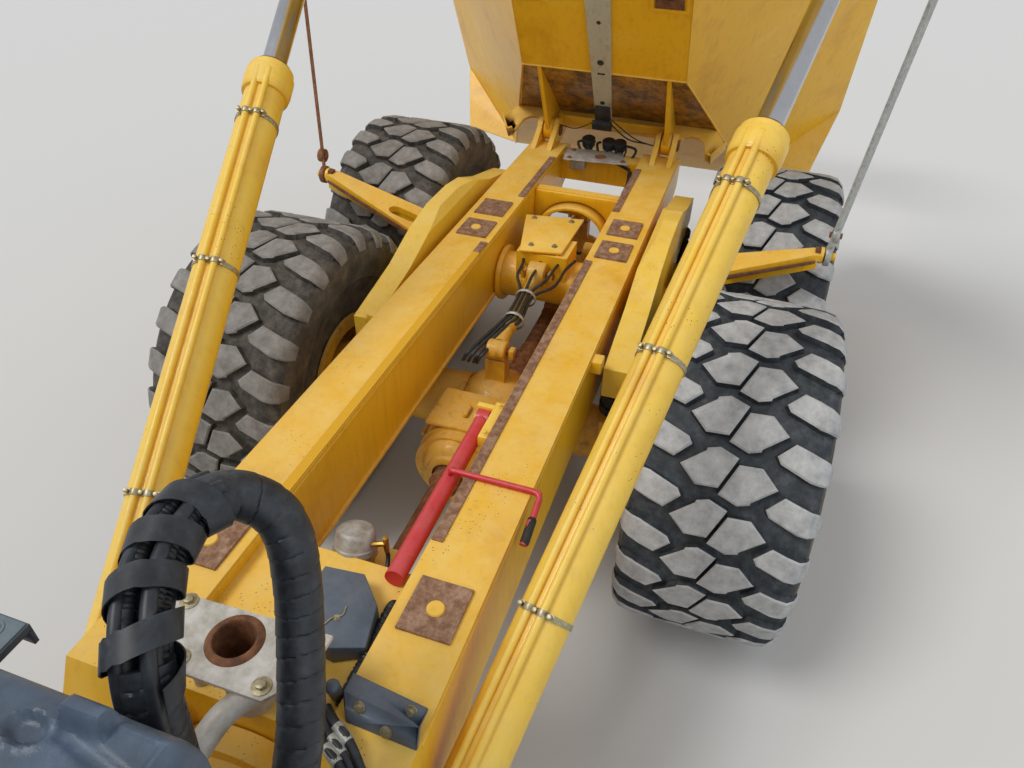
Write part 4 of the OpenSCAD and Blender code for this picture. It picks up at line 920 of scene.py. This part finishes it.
a, b = Vector((0, 0, 1385)), Vector((-765, 0, 1480))
line = (b - a).normalized()
bm = bmesh.new()
for length in (270, 500):
    turned_shape(bm, [(length - 9, 60), (length - 12, 64), (length, 68), (length + 12, 64), (length + 9, 60)],
                 a + Vector((0, 8, 6)), line, 24)
finished(bm, "rod_clamps", "rear_unit", galvanised)
bm = bmesh.new()
for y, z in ((-30, 46), (2, 52), (34, 46), (54, 24)):
    shift = Vector((0, y, z))
    tube(bm, smooth_path([a + line * 250 + Vector((330, -150 + y, -90)),
                          a + line * 60 + Vector((150, -110 + y, 10)),
                          a + line * 180 + shift * 0.8 + Vector((0, -30, 0)), a + line * 270 + shift,
                          a + line * 500 + shift, a + line * 620 + shift * 1.3 + Vector((0, y * 1.6, 10)),
                          b + Vector((-40, y * 3.4 - 10, 40)), b + Vector((-130, y * 4.2 - 12,
                                                                           70))], 14), 10, 10)
finished(bm, "axle_hoses", "rear_unit", hose_rubber)

# Shafts: rusty tubes with their joints, and the ribbed drop box at the middle axle

bm = bmesh.new()
start_at, stop_at = Vector((741, 0, 1075)), Vector((1779, 0, 1075))
line = (stop_at - start_at).normalized()
for base, way in ((start_at, line), (stop_at, -line)):
    turned_shape(bm, [(0, 82), (22, 84), (24, 70), (60, 66), (62, 78), (96, 80), (100, 62), (170, 60),
                      (172, 58.5)],
                 base, way, 28)
for base, way in ((Vector((-256, 0, 945)), Vector((-1, 0, 0))), (Vector((-1559, 0, 945)), Vector((1, 0, 0)))):
    turned_shape(bm, [(0, 86), (30, 88), (34, 72), (80, 68), (84, 82), (120, 84), (126, 66), (300, 64),
                      (304, 74),
                      (318, 76), (324, 66), (420, 64), (424, 58.5)], base, way, 28)
finished(bm, "shaft_joints", "rear_unit", rusty_rod, edge=1.5)
bm = bmesh.new()
for x, r in ((400, 236), (440, 250), (470, 236), (500, 244), (530, 232), (600, 240), (640, 226)):
    turned_shape(bm, [(-9, r - 20), (-9, r), (9, r), (9, r - 20)], (x, 0, 1035), (1, 0, 0), 44)
turned_shape(bm, [(0, 180), (30, 176), (60, 150), (70, 128), (90, 122), (96, 90)], (678, 0, 1075),
             (1, 0, 0), 36)
for up_by, across in around(14, 262):
    rod(bm, (430, across, 1035 + up_by), (520, across, 1035 + up_by), 13, sides=8)
for y in (-150, 120):
    block(bm, (330, y, 1230), (560, y + 26, 1268))
block(bm, (300, -190, 1262), (610, 190, 1282))
finished(bm, "drop_box_ribs", "rear_unit", grimy_enamel, edge=3)

# Arch of the rear cross member, seen between the rails

ARCH_STEPS = 16
hoop = [(262 * math.cos(math.pi * k / ARCH_STEPS), 1380 + 200 * math.sin(math.pi * k / ARCH_STEPS))
        for k in range(ARCH_STEPS + 1)]
bm = bmesh.new()
slab(bm, [(-1722, 313, 1380), (-1722, 313, 1632), (-1722, -313, 1632), (-1722, -313, 1380)]
     + [(-1722, -y, z) for y, z in hoop], (22, 0, 0))
for shift, wide in ((0, 26), (120, 22)):
    slab(bm, [(-1722 + shift, y, z) for y, z in hoop] + [(-1722 + shift, y * 0.9, z - wide) for y,
                                                         z in reversed(hoop)],
         (18 if shift else 120, 0, 0))
finished(bm, "arch_plate", "rear_unit", yellow_enamel, edge=4)
bm = bmesh.new()
turned_shape(bm, [(0, 60), (6, 74), (90, 74), (96, 60), (96, 0)], (-1500, 130, 1300), (0, 1, 0), 28)
block(bm, (-1580, 140, 1180), (-1420, 220, 1300))
finished(bm, "brake_pod", "rear_unit", grimy_enamel, edge=3)
bm = bmesh.new()
for k in range(4):
    tube(bm, smooth_path([(-1720, -160 + 30 * k, 1400), (-1600, -140 + 20 * k, 1440),
                          (-1480, -60 + 24 * k, 1400),
                          (-1420, 40 + 20 * k, 1330), (-1500, 120, 1290)], 16), 9, 10)
finished(bm, "brake_hoses", "rear_unit", hose_rubber)

# Between the hinge ears: bolted plate, lamp pods, a junction box and the harness that hangs from them

bm = bmesh.new()
slab(bm, [(-2545, -306, 1642), (-2302, -272, 1642), (-2371, 239, 1642), (-2602, 132, 1642)], (0, 0, 13))
finished(bm, "tail_plate", "rear_unit", dusty_plate, edge=3)
bm = bmesh.new()
turned_shape(bm, [(0, 0), (0, 46), (5, 44), (7, 26), (4, 20), (4, 0)], (-2440, 0, 1655), (0, 0, 1), 20)
bolt_heads(bm, [(-2340, -230, 1655), (-2400, 190, 1655), (-2510, -240, 1655)], (0, 0, 1), 13, 9, 22)
finished(bm, "tail_plate_bolts", "rear_unit", rusty_rod, edge=1)
bm = bmesh.new()
for y in (-150, 20, 110):
    turned_shape(bm, [(0, 0), (0, 34), (26, 52), (84, 56), (92, 46), (92, 0)], (-2650, y, 1640),
                 (0.25, 0, 1), 24)
    block(bm, (-2690, y - 26, 1560), (-2630, y + 26, 1650))
block(bm, (-2700, -300, 1548), (-2650, 300, 1566))
finished(bm, "lamp_pods", "rear_unit", black_trim, edge=3)
bm = bmesh.new()
block(bm, (-2420, -232, 1556), (-2360, -108, 1636))
finished(bm, "junction_box", "rear_unit", galvanised, edge=4)
bm = bmesh.new()
for k in range(7):
    y = -260 + 80 * k
    tube(bm, smooth_path([(-2640, y * 0.5, 1700), (-2600, y + 30, 1690), (-2520, y * 0.7 + 60, 1600),
                          (-2470, y * 0.5 + 120, 1640 - 10 * k), (-2380, 250, 1600), (-2100, 292, 1604),
                          (-1900, 300, 1610)], 20), 8 if k % 2 else 11, 8)
finished(bm, "tail_harness", "rear_unit", hose_rubber)

# Underframe of the body, drawn as the body lies lowered and then raised with it

HINGE = Vector((-2640, 0, 1756))
BODY_RAISE = math.radians(60)
CHUTE_RISE = 695 / 1750
PAD_STATIONS = (1435, 1765, 4575)
EAR_SIDE = 484


def on_body(x, y, z):
    """A point of the lowered body, measured from the middle of its hinge."""
    return HINGE + Vector((x, y, z))


def raised(bm):
    """Turns what was drawn on the lowered body up about its hinge."""
    bmesh.ops.rotate(bm, cent=at(*HINGE), matrix=Matrix.Rotation(-BODY_RAISE, 3, "Y"), verts=bm.verts)


def chute_under(x):
    """Height of the chute's underside at a station behind the fold."""
    return -55.4 + (730 - x) * CHUTE_RISE


def skin(z):
    """Half width over the sloping sides at a height."""
    return 605.4 + (z + 55) * 1205 / 1395


bm = bmesh.new()
rib = [(-60, -54), (55, -60), (712, chute_under(712)), (-380, chute_under(-380)), (-330, 200)]
for side in (1, -1):
    turned_shape(bm, [(-40, 45.5), (-40, 74), (-34, 82), (34, 82), (40, 74), (40, 45.5)],
                 on_body(0, side * EAR_SIDE, 0),
                 (0, 1, 0), 36)
    slab(bm, [on_body(x, side * EAR_SIDE - 16, z) for x, z in rib], (0, 32, 0))
    # Socket of each pad: the pad and the frame welded round it
    for x in PAD_STATIONS:
        block(bm, on_body(x - 110, side * 365, -73), on_body(x + 110, side * 559, -55))
        for back, front, inner, outer in ((-138, -112, 335, 589), (112, 138, 335, 589),
                                          (-114, 114, 335, 361), (-114, 114, 563, 589)):
            block(bm, on_body(x + back, side * inner, -69), on_body(x + front, side * outer, -54.6))
    # Bracket of the hoist's rod
    slab(bm, [on_body(2281, side * y, z) for y, z in ((skin(560), 560), (1530, 760), (1555, 790), (1555, 935),
                                                      (skin(980), 980))], (180, 0, 0))
    # Pivot of the tailgate
    turned_shape(bm, [(0, 0), (0, 80), (44, 80), (44, 34), (96, 34), (96, 60), (112, 60), (112, 34),
                      (120, 34), (120, 0)],
                 on_body(1440, side * 1810.4, 1444), (0, side, 0), 36)
# Cross member: a plate with an arch over each outer ear, feet beyond them, and its flange
arch = [(0, 118), (400, 112), (580, 108), (600, 142), (650, 160), (710, 152), (755, 112), (782, 20),
        (796, -48),
        (842, -70), (935, 96), (838, 258)]
line = arch + [(-y, z) for y, z in reversed(arch[1:])]
slab(bm, [on_body(-80, y, z) for y, z in line], (24, 0, 0))
slab(bm, [on_body(-56, y, z) for y, z in ((-440, 118), (440, 118), (440, 130), (-440, 130))], (96, 0, 0))
for side in (1, -1):
    slab(bm, [on_body(-56, side * y, z) for y, z in ((796, -48), (842, -70), (850, -58), (806, -34))],
         (70, 0, 0))
    slab(bm, [on_body(-56, side * y, z) for y, z in ((842, -70), (935, 96), (925, 100), (832, -62))],
         (70, 0, 0))
raised(bm)
finished(bm, "underframe", "dump_body", yellow_enamel, edge=4, replaces=["body_underframe"])
bm = bmesh.new()
for side in (1, -1):
    turned_shape(bm, [(-98, 0), (-98, 40), (-94, 45), (94, 45), (98, 40), (98, 0)],
                 on_body(0, side * EAR_SIDE, 0), (0, 1, 0), 36)
    for x in PAD_STATIONS:
        block(bm, on_body(x - 107, side * 368, -73.5), on_body(x + 107, side * 556, -72))
raised(bm)
finished(bm, "socket_plates", "dump_body", rusty_steel, edge=0.3)
# Black discs in the middle of each socket plate: painted shade for the dark inside of the holes
bm = bmesh.new()
for side in (1, -1):
    for x in PAD_STATIONS:
        turned_shape(bm, [(0, 0), (0, 42), (3, 44), (3.4, 30), (3.4, 0)], on_body(x, side * 462, -71.5),
                     (0, 0, -1), 24)
raised(bm)
finished(bm, "socket_hole_shade", "dump_body", black_iron)

# Underside: skin of the chute in painted shade and grime, beads along the folds, and the centre strip with bracket
# and wires

bm = bmesh.new()
slab(bm, [on_body(716, -600, chute_under(716)), on_body(716, 600, chute_under(716)),
          on_body(-60, 820, chute_under(-60)), on_body(-60, -820, chute_under(-60))], (0, 0, -1.2))
raised(bm)
finished(bm, "chute_skin", "dump_body", chute_shade_and_grime)
bm = bmesh.new()
tube(bm, [on_body(728, -608, -60), on_body(728, 608, -60)], 7, 10)
for side in (1, -1):
    tube(bm, [on_body(728, side * 608, -60), on_body(-1016, side * 1124, 633)], 7, 10)
    tube(bm, [on_body(728, side * 608, -56), on_body(4696, side * 608, -56)], 5, 8)
raised(bm)
finished(bm, "fold_beads", "dump_body", pale_enamel)
bm = bmesh.new()
slab(bm, [on_body(x, y, -80) for x, y in ((292, -66), (292, 60), (1330, 80), (3900, 80), (3900, -95),
                                          (1330, -93))],
     (0, 0, 24.5))
raised(bm)
finished(bm, "centre_strip", "dump_body", strip_paint, edge=3)
bm = bmesh.new()
for x, r in ((1180, 13), (839, 22), (452, 16)):
    turned_shape(bm, [(0, 0), (0, r), (2, r + 3), (2.4, 0)], on_body(x, -4, -79), (0, 0, -1), 20)
for y in (-22, 16):
    turned_shape(bm, [(0, 0), (0, 9), (2, 10), (2.4, 0)], on_body(735, y, -79), (0, 0, -1), 16)
block(bm, on_body(728, -24, -82), on_body(742, 18, -79))
block(bm, on_body(250, -60, -112), on_body(420, 56, -80.5))
block(bm, on_body(232, -78, -150), on_body(300, 74, -112))
raised(bm)
finished(bm, "strip_bracket", "dump_body", black_iron, edge=2)
bm = bmesh.new()
for a, b, r in (((300, 60, -130), (20, 330, -40), 6), ((300, -60, -130), (40, -400, 20), 4),
                ((330, 70, -120), (-40, 440, -10), 5), ((420, -20, -90), (260, -300, 60), 4)):
    middle = [(p + q) / 2 for p, q in zip(a, b)]
    tube(bm, smooth_path([on_body(*a), on_body(middle[0] - 30, middle[1], middle[2] - 26), on_body(*b)],
                         16), r, 8)
raised(bm)
finished(bm, "underbody_wires", "dump_body", hose_rubber)

# Link bars: eyes with their bolts, and rust on the outriggers' lower flanges

for word, side in SIDES:
    foot = Vector((-1125, side * 1714, 1756))
    lean = Vector((-0.506, side * 0.27, 2.2)).normalized()
    finish = galvanised if side > 0 else rusty_rod
    bm = bmesh.new()
    for length in (0, 2240):
        turned_shape(bm, [(-16, 34), (-16, 60), (16, 60), (16, 34)], foot + lean * length, (0, 1, 0), 32)
    turned_shape(bm, [(-20, 28), (-20, 46), (20, 46), (20, 28)], foot + lean * 130, (0, 1, 0), 28)
    finished(bm, f"link_eyes_{word}", f"tail_link_{word}", finish, edge=2)
    bm = bmesh.new()
    for length in (0, 130):
        spot = foot + lean * length
        bolt_heads(bm, [spot + Vector((0, side * 14, 0))], (0, side, 0), 20, 18, 30)
        bolt_heads(bm, [spot - Vector((0, side * 14, 0))], (0, -side, 0), 20, 18, 30)
    finished(bm, f"link_bolts_{word}", f"tail_link_{word}", rusty_rod, edge=1.5)
    bm = bmesh.new()
    for x in (-1176, -845):
        slab(bm, [(x, side * 866, 1545), (x * 0.25 - 0.75 * 1125, side * 1650, 1752),
                  (x * 0.25 - 0.75 * 1125, side * 1650, 1732), (x, side * 866, 1505)], (10, 0, 0))
    block(bm, (-1150, side * 1640, 1716), (-1100, side * 1694, 1796))
    finished(bm, f"arm_edges_{word}", "rear_unit", rusty_steel, edge=2)

# Wheels: nuts on the disc, bolts and cap on the hub, lock ring and valve

for axle, station in AXLES:
    for word, side in SIDES:
        face, disc = side * 1633.5, side * 1488.5
        bm = bmesh.new()
        bolt_heads(bm, [(station + x, disc, TYRE_R + z) for x, z in around(24, 281)], (0, side, 0), 15,
                   24, 19)
        bolt_heads(bm, [(station + x, face, TYRE_R + z) for x, z in around(16, 166, 0.5)], (0, side, 0),
                   11, 9)
        finished(bm, f"wheel_nuts_{axle}_{word}", f"wheel_{axle}_{word}", zinc_bolt, edge=1)
        bm = bmesh.new()
        turned_shape(bm, [(-6, 128), (4, 128), (12, 120), (16, 84), (30, 74), (36, 30), (36, 0)],
                     (station, face, TYRE_R), (0, side, 0), 36)
        turned_shape(bm, [(0, 372), (12, 384), (26, 384), (30, 372), (24, 360), (0, 360)],
                     (station, side * 1725, TYRE_R), (0, side, 0), 64)
        finished(bm, f"hub_cap_{axle}_{word}", f"wheel_{axle}_{word}", grimy_enamel, edge=1.5)

# Cab: window seals, wipers, lamps, beacon, door handle and roof hatch. Its faces lie at these distances at
# a height z


def front_x(z):
    return 5360 + 40 * (z - 2000) / 650 if z < 2650 else 5400 - 190 * (z - 2650) / 890


def back_x(z):
    return 3960 - 60 * (z - 2000) / 650 if z < 2650 else 3900 + 70 * (z - 2650) / 890


def side_y(z):
    return 780 if z < 2650 else 780 - 70 * (z - 2650) / 870


def seal(bm, corners):
    """Rubber strip round a window whose corners are given in order."""
    path = []
    for a, b in zip(corners, corners[1:] + corners[:1]):
        count = max(2, int((Vector(b) - Vector(a)).length / 60))
        path += [Vector(a).lerp(Vector(b), k / count) for k in range(count)]
    tube(bm, path + path[:1], 9, 8)


bm = bmesh.new()
for wide, place_x, out in ((670, front_x, 3), (650, back_x, -3)):
    seal(bm, [(place_x(z) + out, y, z) for y, z in (
        (40 - wide, 2560), (0, 2560), (wide - 40, 2560), (wide, 2600), (wide, 2650), (wide - 50, 3410),
        (50 - wide, 3410), (-wide, 2650), (-wide, 2600))])
for side, a, b, c, d, r in ((1, 4160, 5000, 2350, 3370, 60), (-1, 4080, 5080, 2560, 3410, 50)):
    seal(bm, [(x, side * (side_y(z) + 3), z) for x, z in (
        (a + r, c), (b - r, c), (b, c + r), (b, 2650), (b, d - r), (b - r, d), (a + r, d), (a, d - r), (a,
                                                                                                        2650),
        (a, c + r))])
finished(bm, "window_seals", "front_unit", black_rubber)
bm = bmesh.new()
for y in (-250, 260):
    rod(bm, (front_x(2530) + 2, y, 2530), (front_x(2530) + 26, y, 2530), 20)
    tube(bm, [(front_x(z) + 22, y + 0.35 * (z - 2530), z) for z in (2530, 2620, 2700, 2820, 2960)], 7, 8)
    tube(bm, [(front_x(z) + 13, y + 0.35 * (z - 2530), z) for z in (2740, 2800, 2900, 3050, 3220)], 6, 6)
finished(bm, "wipers", "front_unit", black_trim)
bm = bmesh.new()
block(bm, (4150, -400, 3600.3), (4760, 400, 3638))
block(bm, (4200, -350, 3630), (4710, 350, 3650))
for y in (-560, -380, 380, 560):
    block(bm, (5118, y - 55, 3560), (5190, y + 55, 3640))
finished(bm, "roof_hatch", "front_unit", slate_enamel, edge=12, segments=3)
bm = bmesh.new()
for y in (-560, -380, 380, 560):
    block(bm, (5186, y - 44, 3570), (5196, y + 44, 3630))
for side in (1, -1):
    for y in (697, 803):
        turned_shape(bm, [(0, 46), (10, 46), (18, 36), (22, 0)], (7596, side * y, 1395), (1, 0, 0), 32)
finished(bm, "lamp_lenses", "front_unit", lamp_white, edge=3)
bm = bmesh.new()
for side in (1, -1):
    block(bm, (7588.5, side * 642, 1333), (7597, side * 858, 1457))
    for y in (697, 803):
        turned_shape(bm, [(0, 56), (14, 56), (14, 47), (0, 47)], (7594, side * y, 1395), (1, 0, 0), 32)
finished(bm, "lamp_bezels", "front_unit", black_trim, edge=2)
bm = bmesh.new()
turned_shape(bm, [(0, 62), (14, 62), (18, 50), (20, 0)], (4320, 560, 3600.3), (0, 0, 1), 32)
finished(bm, "beacon_foot", "front_unit", black_trim, edge=2)
bm = bmesh.new()
turned_shape(bm, [(18, 50), (90, 46), (112, 34), (118, 0)], (4320, 560, 3600.3), (0, 0, 1), 32)
for side in (1, -1):
    block(bm, (7606, side * 905, 1345), (7618, side * 985, 1440))
finished(bm, "beacon_lens", "front_unit", lamp_amber, edge=2)
bm = bmesh.new()
block(bm, (4905, 781, 2225), (5010, 786, 2285))
tube(bm, smooth_path([(4915, 784, 2255), (4925, 806, 2255), (4990, 808, 2255), (5000, 784, 2255)], 6), 8, 10)
finished(bm, "door_handle", "door", black_trim, edge=2)

# Hood: side vents and latches. Radiator core behind the grille, mirrors and treads

bm = bmesh.new()
for side in (1, -1):
    for k in range(9):
        slab(bm, [(5960 + 70 * k, side * 752, 1960), (5960 + 70 * k, side * 752, 2260),
                  (5996 + 70 * k, side * 768, 2260), (5996 + 70 * k, side * 768, 1960)], (6, 0, 0))
    for z in (1940, 2266):
        block(bm, (5930, side * 750.5, z), (6620, side * 762, z + 18))
finished(bm, "hood_louvres", "hood", yellow_enamel, edge=2)
# Black sheet under the louvres: painted shade of the vent openings. The small blocks are the black latches
bm = bmesh.new()
for side in (1, -1):
    block(bm, (5940, side * 750.3, 1956), (6610, side * 752, 2268))
    for x in (5520, 7180):
        block(bm, (x, side * 750.5, 1700), (x + 44, side * 768, 1790))
finished(bm, "hood_vent_shade_and_latches", "hood", black_trim, edge=2)
bm = bmesh.new()
block(bm, (7080, -420, 1500), (7130, 420, 2080))
for k in range(28):
    block(bm, (7130, -410 + 30 * k, 1520), (7142, -402 + 30 * k, 2060))
finished(bm, "radiator_core", "front_unit", black_iron)
bm = bmesh.new()
for side in (1, -1):
    block(bm, (5626, side * 1598, 2896), (5630.5, side * 1752, 3194))
finished(bm, "mirror_glass", "front_unit", rod_chrome, edge=1)
bm = bmesh.new()
for side in (1, -1):
    for k in range(4):
        for j in range(6):
            block(bm, (5812 + 48 * j, side * 1075, 550.3 + 330 * k),
                  (5828 + 48 * j, side * 1465, 556 + 330 * k))
    for x in range(3760, 5520, 70):
        block(bm, (x, side * 830, 2020.4), (x + 22, side * 1640, 2025))
finished(bm, "step_treads", "front_unit", black_rubber)

# Floor and light

bm = bmesh.new()
bmesh.ops.create_grid(bm, x_segments=1, y_segments=1, size=60)
mesh = bpy.data.meshes.new("floor")
bm.to_mesh(mesh)
bm.free()
floor = bpy.data.objects.new("floor", mesh)
bpy.context.scene.collection.objects.link(floor)
material, tree, shader, place = start("matt_floor", Roughness=0.9, Specular_IOR_Level=0.1)
shader.inputs["Base Color"].default_value = linear("#d3d3d1")
mesh.materials.append(material)

world = bpy.data.worlds.new("studio")
bpy.context.scene.world = world
world.use_nodes = True
tree = world.node_tree
tree.nodes.clear()
seen = add(tree, "ShaderNodeLightPath")
straight = add(tree, "ShaderNodeMath", {0: (seen, "Is Camera Ray"), 1: (seen, "Is Transmission Ray")},
               operation="MAXIMUM")
lit = add(tree, "ShaderNodeBackground", {"Color": linear("#f2f5fa"), "Strength": 0.62})
shown = add(tree, "ShaderNodeBackground", {"Color": linear("#e9e9e8"), "Strength": 1.0})
both_ways = add(tree, "ShaderNodeMixShader", {0: (straight, "Value"), 1: (lit, "Background"),
                                              2: (shown, "Background")})
add(tree, "ShaderNodeOutputWorld", {"Surface": (both_ways, "Shader")})

for name, energy, angle, aim in (("key", 1.5, 22, (-0.35, 0.45, -0.9)),
                                 ("fill", 0.35, 60, (-0.5, -0.7, -0.5))):
    lamp = bpy.data.lights.new(name, "SUN")
    lamp.energy = energy
    lamp.angle = math.radians(angle)
    lamp.color = (1.0, 0.975, 0.94) if name == "key" else (0.95, 0.97, 1.0)
    holder = bpy.data.objects.new(name, lamp)
    bpy.context.scene.collection.objects.link(holder)
    holder.rotation_mode = "QUATERNION"
    holder.rotation_quaternion = Vector(aim).to_track_quat("-Z", "Y")

bpy.context.scene.view_settings.view_transform = "Standard"
